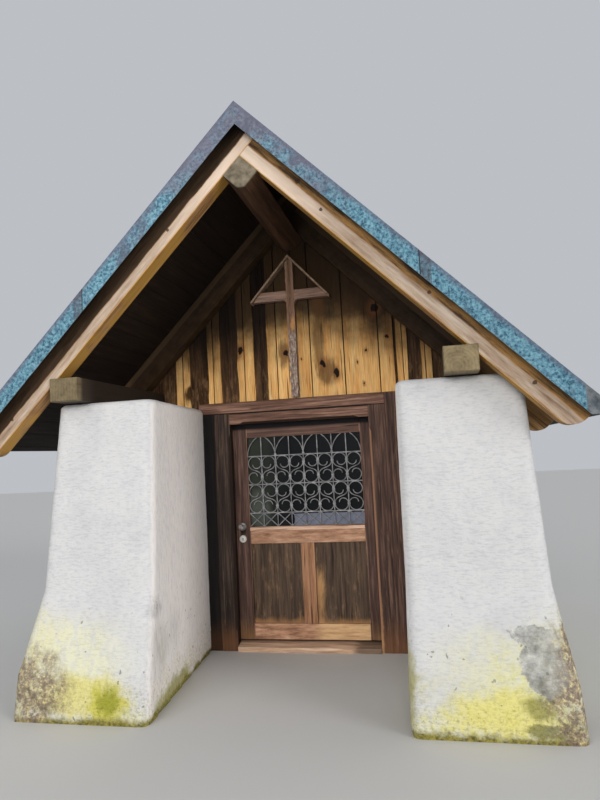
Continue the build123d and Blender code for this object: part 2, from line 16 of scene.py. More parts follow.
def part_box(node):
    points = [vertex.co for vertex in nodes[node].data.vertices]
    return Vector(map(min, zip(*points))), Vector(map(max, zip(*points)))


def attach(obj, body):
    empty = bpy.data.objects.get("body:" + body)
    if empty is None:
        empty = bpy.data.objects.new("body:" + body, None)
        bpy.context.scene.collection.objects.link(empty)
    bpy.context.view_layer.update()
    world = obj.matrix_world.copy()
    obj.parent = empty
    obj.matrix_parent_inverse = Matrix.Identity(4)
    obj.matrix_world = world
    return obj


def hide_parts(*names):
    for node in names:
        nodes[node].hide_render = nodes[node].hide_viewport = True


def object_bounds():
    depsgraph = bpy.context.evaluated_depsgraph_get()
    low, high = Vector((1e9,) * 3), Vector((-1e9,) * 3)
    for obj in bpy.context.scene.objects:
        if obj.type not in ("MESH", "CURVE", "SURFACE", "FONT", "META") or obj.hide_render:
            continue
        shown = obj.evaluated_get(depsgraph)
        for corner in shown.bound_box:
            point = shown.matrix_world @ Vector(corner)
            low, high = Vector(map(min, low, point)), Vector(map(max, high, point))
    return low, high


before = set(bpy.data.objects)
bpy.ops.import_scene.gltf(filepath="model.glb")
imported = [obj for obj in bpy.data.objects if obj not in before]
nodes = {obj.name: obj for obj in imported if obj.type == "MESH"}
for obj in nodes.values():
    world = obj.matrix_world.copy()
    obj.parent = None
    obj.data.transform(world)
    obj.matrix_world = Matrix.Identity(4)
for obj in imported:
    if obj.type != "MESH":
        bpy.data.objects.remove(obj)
cad_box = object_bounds()
print("CAD nodes:", len(nodes))
print("CAD box:", [tuple(round(value, 3) for value in corner) for corner in cad_box])

# %% [markdown]
# ## The sizes that the pieces share
# The CAD source names every size in millimetres, measured back from the front of the door frame. A lesson
# that adds boards and scrolls needs a few of them again, so they are written once here, in metres. The
# frame's front stands a little in front of the middle of the building, and all depths below count from it.

# %% Shared sizes
DOOR_FRONT = -0.308
ROOF_PITCH = math.radians(45.4)
RISE = math.tan(ROOF_PITCH)
SQUARE = 1.0 / math.cos(ROOF_PITCH)
WALL_TOP = 1.870
PLATE_TOP = WALL_TOP + 0.146
PLATE_INNER = 1.100
RAFTER_APEX = PLATE_TOP + RISE * (PLATE_INNER + 0.132)
LINTEL_TOP = 1.908
GABLE_FACE = DOOR_FRONT + 0.012
ROOM_HALF = 0.800
DECK_FRONT = DOOR_FRONT - 1.319
DECK_BACK = DOOR_FRONT + 1.974
DECK_REACH = 1.870
GLASS_LOW = 0.925
GLASS_HIGH = 1.622
CLEAR_LEFT = -0.434
CLEAR_RIGHT = 0.467
LEAF_FRONT = DOOR_FRONT + 0.075


def roof_line(x, square_height):
    """Height over x of a layer of the roof, at a height square to the rafters' undersides."""
    return RAFTER_APEX + square_height * SQUARE - RISE * abs(x)


print("rafters' undersides meet at", round(RAFTER_APEX, 3))

# %% [markdown]
# ## The camera
# A photographer stood a little right of the door, at eye level, and turned slightly to the left with a
# tilted phone. A camera is easiest to place from the three directions that it has: to its right, upwards
# and backwards. Those three directions and the place fill the columns of its matrix, so nothing has to be
# turned by hand.

# %% Camera
YAW, PITCH, ROLL = 0.20867, 0.08824, 0.05109
EYE = Vector((1.0258, -4.6995 + DOOR_FRONT, 1.4648))
level_right = Vector((math.cos(YAW), math.sin(YAW), 0.0))
level_ahead = Vector((-math.sin(YAW), math.cos(YAW), 0.0))
ahead = math.cos(PITCH) * level_ahead + math.sin(PITCH) * Vector((0.0, 0.0, 1.0))
upright = -math.sin(PITCH) * level_ahead + math.cos(PITCH) * Vector((0.0, 0.0, 1.0))
camera_right = math.cos(ROLL) * level_right - math.sin(ROLL) * upright
camera_up = math.sin(ROLL) * level_right + math.cos(ROLL) * upright
camera_data = bpy.data.cameras.new("camera")
camera_data.sensor_fit = "HORIZONTAL"
camera_data.sensor_width = 36.0
camera_data.lens = 625.04 / 600.0 * 36.0
camera = bpy.data.objects.new("camera", camera_data)
bpy.context.scene.collection.objects.link(camera)
camera_turn = Matrix((camera_right, camera_up, -ahead)).transposed().to_4x4()
camera.matrix_world = Matrix.Translation(EYE) @ camera_turn
bpy.context.scene.camera = camera
print("camera at", tuple(round(value, 3) for value in EYE), "lens", round(camera_data.lens, 1), "mm")

# %% [markdown]
# ## Floor and light
# A studio for an object needs a pale floor and light without hard shadows. A large plane serves as the
# floor. An even pale sky fills the shadows, and one large lamp high in front on the left gives the walls
# their form, as the overcast sky over an open road does. Two very soft suns, one level from the front and
# one from the right, reach under the roof as the bright road does. A sun leaves no bright pool on the
# floor, which a near lamp would.

# %% Studio floor
bpy.context.scene.view_settings.view_transform = "Standard"
studio = bmesh.new()
bmesh.ops.create_grid(studio, x_segments=1, y_segments=1, size=30.0)
studio_mesh = bpy.data.meshes.new("studio_floor")
studio.to_mesh(studio_mesh)
studio.free()
studio_floor = bpy.data.objects.new("studio_floor", studio_mesh)
bpy.context.scene.collection.objects.link(studio_floor)
floor_paint = bpy.data.materials.new("studio_floor")
floor_paint.use_nodes = True
floor_shader = floor_paint.node_tree.nodes["Principled BSDF"]
floor_shader.inputs["Base Color"].default_value = (0.62, 0.61, 0.59, 1.0)
floor_shader.inputs["Roughness"].default_value = 0.9
studio_mesh.materials.append(floor_paint)
print("studio floor ready")

# %% Sky and lamps
sky = bpy.data.worlds.new("studio_sky")
sky.use_nodes = True
sky_light = sky.node_tree.nodes["Background"]
sky_light.inputs["Color"].default_value = (0.90, 0.94, 1.0, 1.0)
sky_light.inputs["Strength"].default_value = 0.56
bpy.context.scene.world = sky


def add_light(name, kind, strength, colour, direction, place=(0.0, 0.0, 0.0)):
    """A lamp at a place, or a sun, that shines in a direction."""
    light = bpy.data.lights.new(name, kind)
    light.energy = strength
    light.color = colour
    lamp = bpy.data.objects.new(name, light)
    turn = Vector(direction).to_track_quat("-Z", "Y").to_matrix().to_4x4()
    lamp.matrix_world = Matrix.Translation(place) @ turn
    bpy.context.scene.collection.objects.link(lamp)
    return lamp


LAMP_PLACE = Vector((-4.0, -9.0, 6.5))
lamp_way = Vector((0.0, -0.8, 1.2)) - LAMP_PLACE
front_lamp = add_light("front_lamp", "AREA", 200.0, (1.0, 0.98, 0.95), lamp_way, LAMP_PLACE)
front_lamp.data.size = 6.0
for name, strength, colour, direction in (
    ("porch_light", 1.65, (1.0, 0.97, 0.92), (-0.05, 1.0, -0.12)),
    ("side_light", 1.55, (1.0, 0.98, 0.96), (-0.85, 0.50, -0.22)),
):
    sun = add_light(name, "SUN", strength, colour, direction)
    sun.data.angle = math.radians(28.0)
    sun.visible_glossy = False
print("lamps ready")

# %% [markdown]
# ## Helpers for finishes
# Every finish here is built from the same few steps: read the place on the object, make a noise pattern
# from it, turn that pattern into colour, and use it once more as relief. A handful of short helpers makes
# one node each, beside the nodes that feed it. A coat then lays colour over colour, as a painter does, so a
# finish reads as a list of its layers. Colours are written as they look on a screen and turned into light
# values.

# %% Colours and nodes


def tint(red, green, blue):
    """A colour as it looks on a screen, 0 to 255, as the light values that a shader reads."""
    shares = [value / 255.0 for value in (red, green, blue)]
    linear = [share / 12.92 if share <= 0.04 else ((share + 0.055) / 1.055) ** 2.4 for share in shares]
    return (*linear, 1.0)


def feed(socket, value):
    """Gives a socket a number, a colour or the output of another node."""
    if hasattr(value, "links"):
        socket.id_data.links.new(value, socket)
    else:
        socket.default_value = value


def new_node(kind, *values):
    """A node beside the ones that its values come from."""
    tree = next(value.id_data for value in values if hasattr(value, "links"))
    return tree.nodes.new("ShaderNode" + kind)


print("node helpers ready")


# %% Noise and colour
def moved(place, scale=(1, 1, 1), turn=(0, 0, 0), shift=(0, 0, 0)):
    """The place after a stretch, a turn and a shift."""
    mapping = new_node("Mapping", place)
    feed(mapping.inputs["Vector"], place)
    mapping.inputs["Scale"].default_value = scale
    mapping.inputs["Rotation"].default_value = turn
    mapping.inputs["Location"].default_value = shift
    return mapping.outputs["Vector"]


def noise_node(place, scale, detail, rough):
    """A noise texture at a place."""
    texture = new_node("TexNoise", place)
    feed(texture.inputs["Vector"], place)
    texture.inputs["Scale"].default_value = scale
    texture.inputs["Detail"].default_value = detail
    texture.inputs["Roughness"].default_value = rough
    return texture


def clouds(place, scale, detail=4.0, rough=0.55, warp=0.0):
    """Soft noise from 0 to 1."""
    texture = noise_node(place, scale, detail, rough)
    texture.inputs["Distortion"].default_value = warp
    return texture.outputs["Fac"]


def drawn_out(place, stretch, detail=4.0, rough=0.55, warp=0.0):
    """Noise drawn out into streaks, longest along the axis with the smallest stretch."""
    return clouds(moved(place, stretch), 1.0, detail, rough, warp)


def painted(place, name):
    """A number that the mesh carries at its points or faces."""
    attribute = new_node("Attribute", place)
    attribute.attribute_name = name
    return attribute.outputs["Fac"]


def colours(value, *stops):
    """A value turned into colour. Each stop is a position and a colour."""
    ramp = new_node("ValToRGB", value)
    feed(ramp.inputs["Fac"], value)
    while len(ramp.color_ramp.elements) < len(stops):
        ramp.color_ramp.elements.new(0.5)
    for element, (position, colour) in zip(ramp.color_ramp.elements, stops):
        element.position = position
        element.color = colour
    return ramp.outputs["Color"]


print("noise helpers ready")


# %% Sums and masks
def fade(value, low, high):
    """0 below low, 1 above high, smooth between them. With low above high it runs the other way."""
    spread = new_node("MapRange", value)
    spread.interpolation_type = "SMOOTHSTEP"
    feed(spread.inputs["Value"], value)
    if low > high:
        low, high = high, low
        spread.inputs["To Min"].default_value = 1.0
        spread.inputs["To Max"].default_value = 0.0
    spread.inputs["From Min"].default_value = low
    spread.inputs["From Max"].default_value = high
    return spread.outputs["Result"]


def reckon(operation, first, second=0.0, third=0.0):
    """One step of arithmetic."""
    step = new_node("Math", first, second, third)
    step.operation = operation
    for socket, value in zip(step.inputs, (first, second, third)):
        feed(socket, value)
    return step.outputs["Value"]


def times(first, second):
    """The product of two values."""
    return reckon("MULTIPLY", first, second)


def scaled_sum(value, factor, rest):
    """A value times a factor, plus the rest."""
    return reckon("MULTIPLY_ADD", value, factor, rest)


def blend(share, under, over, way="MIX"):
    """One colour laid over another by a share."""
    mix = new_node("Mix", share, under, over)
    mix.data_type = "RGBA"
    mix.blend_type = way
    feed(mix.inputs["Factor"], share)
    feed(mix.inputs["A"], under)
    feed(mix.inputs["B"], over)
    return mix.outputs["Result"]


def axis_of(place, name):
    """One coordinate of a place."""
    parts = new_node("SeparateXYZ", place)
    feed(parts.inputs["Vector"], place)
    return parts.outputs[name]


def reach_of(place):
    """The distance from the middle of the building, to either side."""
    return reckon("ABSOLUTE", axis_of(place, "X"))


def vector_step(operation, *values):
    """One step of arithmetic on places."""
    step = new_node("VectorMath", *values)
    step.operation = operation
    for socket, value in zip(step.inputs, values):
        feed(socket, value)
    return step


def stirred(place, scale, amount, detail=4.0):
    """The place pushed about by noise, so that shapes drawn with it get ragged outlines."""
    texture = noise_node(place, scale, detail, 0.65)
    centred = vector_step("SUBTRACT", texture.outputs["Color"], (0.5, 0.5, 0.5)).outputs["Vector"]
    return vector_step("MULTIPLY_ADD", centred, (amount, amount, amount), place).outputs["Vector"]


def spot(place, centre, reach):
    """1 at a centre, 0 at a distance of reach along each axis and beyond."""
    offset = vector_step("SUBTRACT", place, centre).outputs["Vector"]
    share = vector_step("DIVIDE", offset, reach).outputs["Vector"]
    return fade(vector_step("LENGTH", share).outputs["Value"], 1.0, 0.0)


print("mask helpers ready")


# %% Coats
class Coat:
    """A finish in the making: its material, the place on the object, and its layers so far."""

    def __init__(self, name, roughness, metallic=0.0):
        self.finish = bpy.data.materials.new(name)
        self.finish.use_nodes = True
        nodes_here = self.finish.node_tree.nodes
        self.inputs = nodes_here["Principled BSDF"].inputs
        self.inputs["Roughness"].default_value = roughness
        self.inputs["Metallic"].default_value = metallic
        self.place = nodes_here.new("ShaderNodeTexCoord").outputs["Object"]
        self.colour = None
        self.normal = None

    def paint(self, colour, share=1.0, amount=1.0, way="MIX"):
        """Lays a colour over the earlier ones, by a share times an amount."""
        if self.colour is not None:
            share = share if amount == 1.0 else times(share, amount)
            colour = blend(share, self.colour, colour, way)
        self.colour = colour
        feed(self.inputs["Base Color"], colour)

    def press(self, height, strength, depth):
        """Adds relief of a depth in metres from a height value, on top of the earlier relief."""
        bump = new_node("Bump", height)
        bump.inputs["Strength"].default_value = strength
        bump.inputs["Distance"].default_value = depth
        feed(bump.inputs["Height"], height)
        if self.normal is not None:
            feed(bump.inputs["Normal"], self.normal)
        self.normal = bump.outputs["Normal"]
        feed(self.inputs["Normal"], self.normal)


def plain_coat(name, roughness, metallic, scale, low, high, grain, strength, depth):
    """A coat of two tones in soft noise of a scale, with relief of a finer grain."""
    coat = Coat(name, roughness, metallic)
    coat.paint(colours(clouds(coat.place, scale), low, high))
    coat.press(clouds(coat.place, grain), strength, depth)
    return coat


def dress(name, coat):
    """Gives a CAD node its finish."""
    node = nodes[name]
    for slot in node.material_slots:
        slot.material = coat.finish
    if not node.material_slots:
        node.data.materials.append(coat.finish)


print("coats ready")

# %% [markdown]
# ## Helpers for pieces
# A new piece is drawn in a bmesh and then becomes an object that rides on a body and takes the finishes that
# it is given. A copied CAD mesh is loose triangles, so its points are merged first. Timber from a saw has no
# razor edges either, so the CAD timbers get their points merged and a narrow bevel by modifiers, which leave
# the CAD mesh itself alone.

# %% Helpers for pieces


def add_piece(name, shape, coats, replaced=(), body="chapel", smooth=None):
    """Turns a bmesh into a piece. smooth is the steepest angle, in degrees, that still shades smoothly."""
    mesh = bpy.data.meshes.new(name)
    shape.to_mesh(mesh)
    shape.free()
    piece = bpy.data.objects.new(name, mesh)
    bpy.context.scene.collection.objects.link(piece)
    for coat in coats:
        mesh.materials.append(coat.finish)
    if smooth is not None:
        mesh.shade_smooth()
        mesh.set_sharp_from_angle(angle=math.radians(smooth))
    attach(piece, body)
    if replaced:
        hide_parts(*replaced)
    print(name, "has", len(mesh.polygons), "faces")


def add_block(shape, low, high):
    """A closed box between two corners, and its vertices."""
    low, high = Vector(low), Vector(high)
    middle = (low + high) / 2.0
    size = high - low
    place = Matrix.Translation(middle) @ Matrix.Diagonal((*size, 1.0))
    return bmesh.ops.create_cube(shape, size=1.0, matrix=place)["verts"]


def cut_away(shape, point, way):
    """Cuts away what lies beyond a plane that faces the given way, and closes the cut."""
    geometry = list(shape.verts) + list(shape.edges) + list(shape.faces)
    result = bmesh.ops.bisect_plane(shape, geom=geometry, plane_co=point, plane_no=way, clear_outer=True)
    rim = [item for item in result["geom_cut"] if isinstance(item, bmesh.types.BMEdge)]
    bmesh.ops.holes_fill(shape, edges=rim)


def soften(name, width, angle=35.0, segments=2, arris=None):
    """Rounds the edges of a CAD node, and can give the rounded edges a finish of their own, worn or in
    painted shade.
    """
    weld = nodes[name].modifiers.new("weld", "WELD")
    weld.merge_threshold = 0.00002
    bevel = nodes[name].modifiers.new("edges", "BEVEL")
    bevel.width = width
    bevel.segments = segments
    bevel.limit_method = "ANGLE"
    bevel.angle_limit = math.radians(angle)
    if arris is not None:
        nodes[name].data.materials.append(arris.finish)
        bevel.material = len(nodes[name].data.materials) - 1


print("piece helpers ready")

# %% [markdown]
# ## Plastered walls
# The real walls are rubble under many coats of lime, so every corner is rounded by the trowel and no face
# is quite flat. Cutting and bevelling a CAD solid keeps it too crisp. A voxel remesh is better: the five
# wall solids are pushed a little into each other, and one even skin is drawn round all of them. The skin is
# smoothed, which rounds its corners, and then it sinks by a few millimetres of slow noise. It never moves
# out of the CAD walls' box.

# %% Plastered walls


def merged_copy(shape, name):
    """Adds a CAD node's mesh to a bmesh, with its points merged, and returns the new vertices."""
    before = set(shape.verts)
    shape.from_mesh(nodes[name].data)
    new = [vertex for vertex in shape.verts if vertex not in before]
    bmesh.ops.remove_doubles(shape, verts=new, dist=0.00002)
    return [vertex for vertex in shape.verts if vertex not in before]


walls = bmesh.new()
for name in ("left_wing_wall", "right_wing_wall"):
    back = [vertex for vertex in merged_copy(walls, name) if vertex.co.y > DOOR_FRONT - 0.001]
    bmesh.ops.translate(walls, verts=back, vec=(0.0, 0.03, 0.0))
for name in ("left_side_wall", "right_side_wall"):
    front = [vertex for vertex in merged_copy(walls, name) if vertex.co.y < DOOR_FRONT + 0.001]
    bmesh.ops.translate(walls, verts=front, vec=(0.0, -0.02, 0.0))
for vertex in merged_copy(walls, "rear_wall"):
    vertex.co.x *= (ROOM_HALF + 0.03) / ROOM_HALF
bmesh.ops.recalc_face_normals(walls, faces=walls.faces)
raw_mesh = bpy.data.meshes.new("raw_walls")
walls.to_mesh(raw_mesh)
walls.free()
raw_walls = bpy.data.objects.new("raw_walls", raw_mesh)
bpy.context.scene.collection.objects.link(raw_walls)
remesh = raw_walls.modifiers.new("skin", "REMESH")
remesh.mode = "VOXEL"
remesh.voxel_size = 0.021
graph = bpy.context.evaluated_depsgraph_get()
skin_mesh = bpy.data.meshes.new_from_object(raw_walls.evaluated_get(graph))
bpy.data.objects.remove(raw_walls)
print("walls joined in", len(skin_mesh.polygons), "faces")

# %% Uneven skin
skin = bmesh.new()
skin.from_mesh(skin_mesh)
low_corner, high_corner = cad_box
bmesh.ops.smooth_vert(
    skin, verts=skin.verts, factor=0.5, use_axis_x=True, use_axis_y=True, use_axis_z=True
)
skin.normal_update()
for vertex in skin.verts:
    slow = noise.noise(vertex.co * 1.7) + 0.5 * noise.noise(vertex.co * 4.3 + Vector((3.0, 0.0, 7.0)))
    fine = noise.noise(vertex.co * 16.0)
    vertex.co -= vertex.normal * (0.003 + 0.0025 * slow + 0.0010 * fine)
    vertex.co.x = min(max(vertex.co.x, low_corner[0]), high_corner[0])
    vertex.co.y = min(max(vertex.co.y, low_corner[1]), high_corner[1])
    vertex.co.z = min(max(vertex.co.z, 0.0), WALL_TOP)
    if vertex.co.z < 0.02:
        vertex.co.z = 0.0
skin.normal_update()
# Inner faces of the porch piers get a share that the finish uses to paint them lighter, as painted light
inner_face_layer = skin.verts.layers.float.new("porch_inner_face")
for vertex in skin.verts:
    inward = -vertex.normal.x if vertex.co.x > 0.0 else vertex.normal.x
    in_porch = vertex.co.y < DOOR_FRONT + 0.02 and abs(vertex.co.x) < 1.0
    vertex[inner_face_layer] = min(max((inward - 0.70) / 0.28, 0.0), 1.0) if in_porch else 0.0
print("plaster skin:", len(skin.verts), "points")

# %% [markdown]
# ## Lime wash, algae and damp
# Lime wash is almost white, a little warm, and cloudy. Splashed rain feeds yellow-green algae up to knee
# height, the outer corners of the wings have gone brown and grey, and near the right one a coat has peeled
# with a torn edge. Each of these is a mask: a height, or a spot on the wall, disturbed by noise so that its
# edge breaks up.

# %% Plaster finish
plaster = Coat("lime_plaster", 0.88)
place = plaster.place
height = axis_of(place, "Z")
ragged = clouds(place, 7.0, 6.0, 0.65)
speckle = clouds(place, 60.0, 4.0, 0.65)
lime_tone = colours(
    clouds(place, 3.0, 6.0, 0.65),
    (0.3, tint(190, 190, 192)),
    (0.55, tint(200, 200, 200)),
    (0.75, tint(194, 194, 197)),
)
inner_face_share = painted(place, "porch_inner_face")
plaster.paint(lime_tone)
# Painted light: the inner faces of the porch piers are painted lighter
plaster.paint(tint(240, 235, 231), inner_face_share, 0.85)
torn = stirred(place, 9.0, 0.16, 6.0)
drips = drawn_out(place, (34, 34, 8), 5.0, 0.65)
washed = fade(drips, 0.44, 0.60)


def patch(centre, reach, soft=0.3, amount=1.0):
    """The share of a stain round a centre, its edge broken up by noise. A small soft gives a torn edge."""
    mask = spot(torn, centre, reach)
    near = scaled_sum(ragged, 0.9, mask)
    near = scaled_sum(drips, min(1.2 * soft, 0.8), near)
    start = 0.85 + min(0.6 * soft, 0.4) - soft / 2.0
    share = times(fade(near, start, start + soft), fade(mask, 0.0, 0.2))
    if soft > 0.8:
        share = times(share, scaled_sum(washed, -0.6, 1.0))
    return times(share, amount)


print("lime wash ready")

# %% Algae and splashed foot
outward = reckon("MAXIMUM", reckon("SUBTRACT", reach_of(place), 0.72), 0.0)
algae_level = scaled_sum(outward, -0.52, height)
algae_level = scaled_sum(ragged, -0.55, algae_level)
algae_share = fade(algae_level, 0.00, -0.30)
algae_colour = colours(
    clouds(place, 22.0, 6.0, 0.75),
    (0.32, tint(176, 170, 84)),
    (0.46, tint(204, 200, 128)),
    (0.58, tint(212, 210, 166)),
    (0.68, tint(214, 213, 196)),
)
breaks = fade(clouds(place, 34.0, 5.0, 0.7), 0.62, 0.40)
algae_share = times(algae_share, scaled_sum(breaks, 0.5, 0.3))
drifts = fade(clouds(place, 1.6, 3.0, 0.5), 0.40, 0.60)
algae_share = times(algae_share, scaled_sum(drifts, 0.7, 0.3))
plaster.paint(algae_colour, algae_share)
for centre, reach, soft, amount, colour in (
    ((-1.10, -1.63, 0.36), (0.52, 0.3, 0.36), 0.9, 0.55, tint(222, 220, 172)),
    ((-1.40, -1.62, 0.48), (0.34, 0.4, 0.26), 0.9, 0.50, tint(218, 212, 152)),
    ((-1.06, -1.63, 0.15), (0.46, 0.3, 0.20), 0.7, 0.70, tint(212, 202, 110)),
    ((-0.89, -1.655, 0.11), (0.20, 0.3, 0.17), 0.7, 0.80, tint(184, 178, 62)),
    ((-0.88, -1.655, 0.13), (0.10, 0.3, 0.11), 0.8, 0.75, tint(134, 138, 36)),
    ((-0.70, -1.20, 0.03), (0.20, 0.55, 0.15), 0.6, 0.80, tint(150, 144, 70)),
    ((0.81, -1.50, 0.22), (0.07, 0.4, 0.40), 0.8, 0.75, tint(158, 152, 84)),
    ((1.20, -1.62, 0.36), (0.44, 0.3, 0.26), 0.9, 0.40, tint(212, 209, 160)),
    ((1.28, -1.65, 0.13), (0.50, 0.3, 0.19), 0.7, 0.80, tint(216, 207, 118)),
    ((1.45, -1.65, 0.17), (0.14, 0.3, 0.09), 0.7, 0.65, tint(112, 112, 44)),
    ((1.50, -1.60, 0.06), (0.26, 0.3, 0.08), 0.4, 0.70, tint(84, 84, 40)),
    ((-0.67, -1.46, 0.60), (0.10, 0.14, 0.09), 1.0, 0.45, tint(120, 121, 122)),
    ((-0.69, -1.42, 0.36), (0.14, 0.24, 0.24), 1.2, 0.40, tint(150, 148, 128)),
    ((-0.69, -1.15, 0.40), (0.12, 0.16, 0.20), 1.2, 0.30, tint(160, 158, 154)),
    ((-1.00, -1.60, 0.86), (0.22, 0.3, 0.14), 1.2, 0.25, tint(186, 188, 194)),
):
    plaster.paint(colour, patch(centre, reach, soft, amount))
foot_share = fade(scaled_sum(ragged, -0.12, height), -0.01, -0.05)
foot_colour = colours(speckle, (0.35, tint(80, 78, 40)), (0.6, tint(150, 140, 66)))
plaster.paint(foot_colour, foot_share)
print("algae on the foot of the walls")

# %% Damp corners and the peeled coat
damp_colour = colours(
    clouds(place, 42.0, 5.0, 0.75),
    (0.34, tint(78, 68, 60)),
    (0.48, tint(122, 106, 92)),
    (0.57, tint(166, 150, 116)),
    (0.66, tint(218, 204, 152)),
)
islands = fade(clouds(place, 13.0, 6.0, 0.75), 0.62, 0.50)
damp_share = reckon(
    "MAXIMUM",
    patch((-1.42, -1.65, 0.18), (0.42, 0.6, 0.36), 0.6),
    patch((1.66, -1.60, 0.22), (0.34, 0.6, 0.60), 0.4),
)
damp_share = times(damp_share, scaled_sum(islands, 0.66, 0.22))
plaster.paint(damp_colour, damp_share)
peeled_share = reckon(
    "MAXIMUM",
    patch((1.44, -1.56, 0.50), (0.24, 0.5, 0.050), 0.08),
    patch((1.48, -1.60, 0.35), (0.20, 0.5, 0.25), 0.08),
)
faded_out = scaled_sum(ragged, 0.20, axis_of(place, "X"))
peeled_share = times(peeled_share, fade(faded_out, 1.76, 1.54))
bare_coat = clouds(place, 16.0, 6.0, 0.7)
peeled_colour = colours(
    bare_coat,
    (0.34, tint(112, 112, 104)),
    (0.48, tint(150, 150, 146)),
    (0.60, tint(176, 176, 172)),
    (0.70, tint(206, 205, 196)),
)
plaster.paint(peeled_colour, peeled_share, 0.92)
edge_damp = patch((1.73, -1.50, 0.42), (0.22, 0.7, 0.50), 0.5)
edge_damp = times(edge_damp, scaled_sum(islands, 0.6, 0.3))
plaster.paint(damp_colour, edge_damp)
print("damp corners and peeled coat ready")

# %% Specks and brush strokes
specks = fade(clouds(place, 26.0, 2.0, 0.5), 0.71, 0.74)
specks = times(specks, fade(height, 0.8, 0.5))
plaster.paint(tint(96, 92, 76), specks, 0.6)
mottle = colours(clouds(place, 58.0, 5.0, 0.75), (0.36, tint(150, 142, 104)), (0.50, tint(255, 255, 255)))
mottled = fade(scaled_sum(ragged, -0.30, height), 0.20, -0.06)
plaster.paint(mottle, mottled, 0.5, way="MULTIPLY")
level_strokes = drawn_out(place, (26, 26, 95), 4.0, 0.65)
upright_strokes = drawn_out(place, (70, 70, 14), 4.0, 0.65)
strokes = blend(inner_face_share, level_strokes, upright_strokes)
# Painted shade: the hollows of the brush strokes are darkened a little
stroke_shade = colours(strokes, (0.34, tint(237, 237, 241)), (0.52, tint(255, 255, 255)))
plaster.paint(stroke_shade, way="MULTIPLY")
plaster.press(clouds(place, 150.0, 4.0, 0.65), 0.6, 0.004)
plaster.press(strokes, 0.6, 0.008)
plaster.press(clouds(place, 24.0, 4.0, 0.5), 0.3, 0.010)
plaster.press(peeled_share, 0.6, -0.003)
add_piece(
    "plastered_walls",
    skin,
    [plaster],
    ("left_wing_wall", "right_wing_wall", "left_side_wall", "right_side_wall", "rear_wall"),
    smooth=60.0,
)
bpy.data.meshes.remove(skin_mesh)

# %% [markdown]
# ## Timber
# Wood is a bundle of long fibres, so its pattern is a noise stretched along the grain: broad bands for the
# growth rings, a fine streak for the fibres, and a few dark checks. One helper makes them all. It takes the
# three tones of the piece, the way its grain runs, and how deep the weather has cut. A piece made of boards
# also carries an attribute with a number for each board, which moves the pattern so that no two neighbours
# match.

# %% Timber helper
GRAIN = {"X": (0.0, math.radians(90), 0.0), "Y": (math.radians(-90), 0.0, 0.0), "Z": (0.0, 0.0, 0.0)}


def timber(
    name, dark, middle, light, grain="Z", turn=None, rough=0.72, coarse=1.0, depth=0.0012, boards=False
):
    """A coat of wood, for more layers to follow."""
    coat = Coat(name, rough)
    place = coat.place
    coat.inputs["Specular IOR Level"].default_value = 0.3
    lengthwise = moved(place, turn=turn if turn is not None else GRAIN[grain])
    if boards:
        number = painted(place, "board")
        step = new_node("VectorMath", number)
        step.operation = "SCALE"
        step.inputs[0].default_value = (3.7, 5.3, 1.9)
        feed(step.inputs["Scale"], number)
        lengthwise = vector_step("ADD", lengthwise, step.outputs["Vector"]).outputs["Vector"]
    bands = drawn_out(lengthwise, (34 * coarse, 34 * coarse, 2.2), 6.0, 0.65, 0.35)
    fibres = drawn_out(lengthwise, (330, 330, 9), 3.0, 0.6)
    checks = fade(drawn_out(lengthwise, (85, 85, 2.4), 2.0, 0.5), 0.36, 0.30)
    coat.paint(colours(bands, (0.28, dark), (0.5, middle), (0.74, light)))
    streak = colours(fibres, (0.32, (0.42, 0.40, 0.38, 1.0)), (0.60, (1.0, 1.0, 1.0, 1.0)))
    coat.paint(streak, 0.6, way="MULTIPLY")
    coat.paint(tint(24, 16, 12), checks, 0.75)
    grooves = reckon("SUBTRACT", reckon("ADD", bands, times(fibres, 0.5)), checks)
    coat.press(grooves, 0.8, depth)
    return coat


print("timber helper ready")
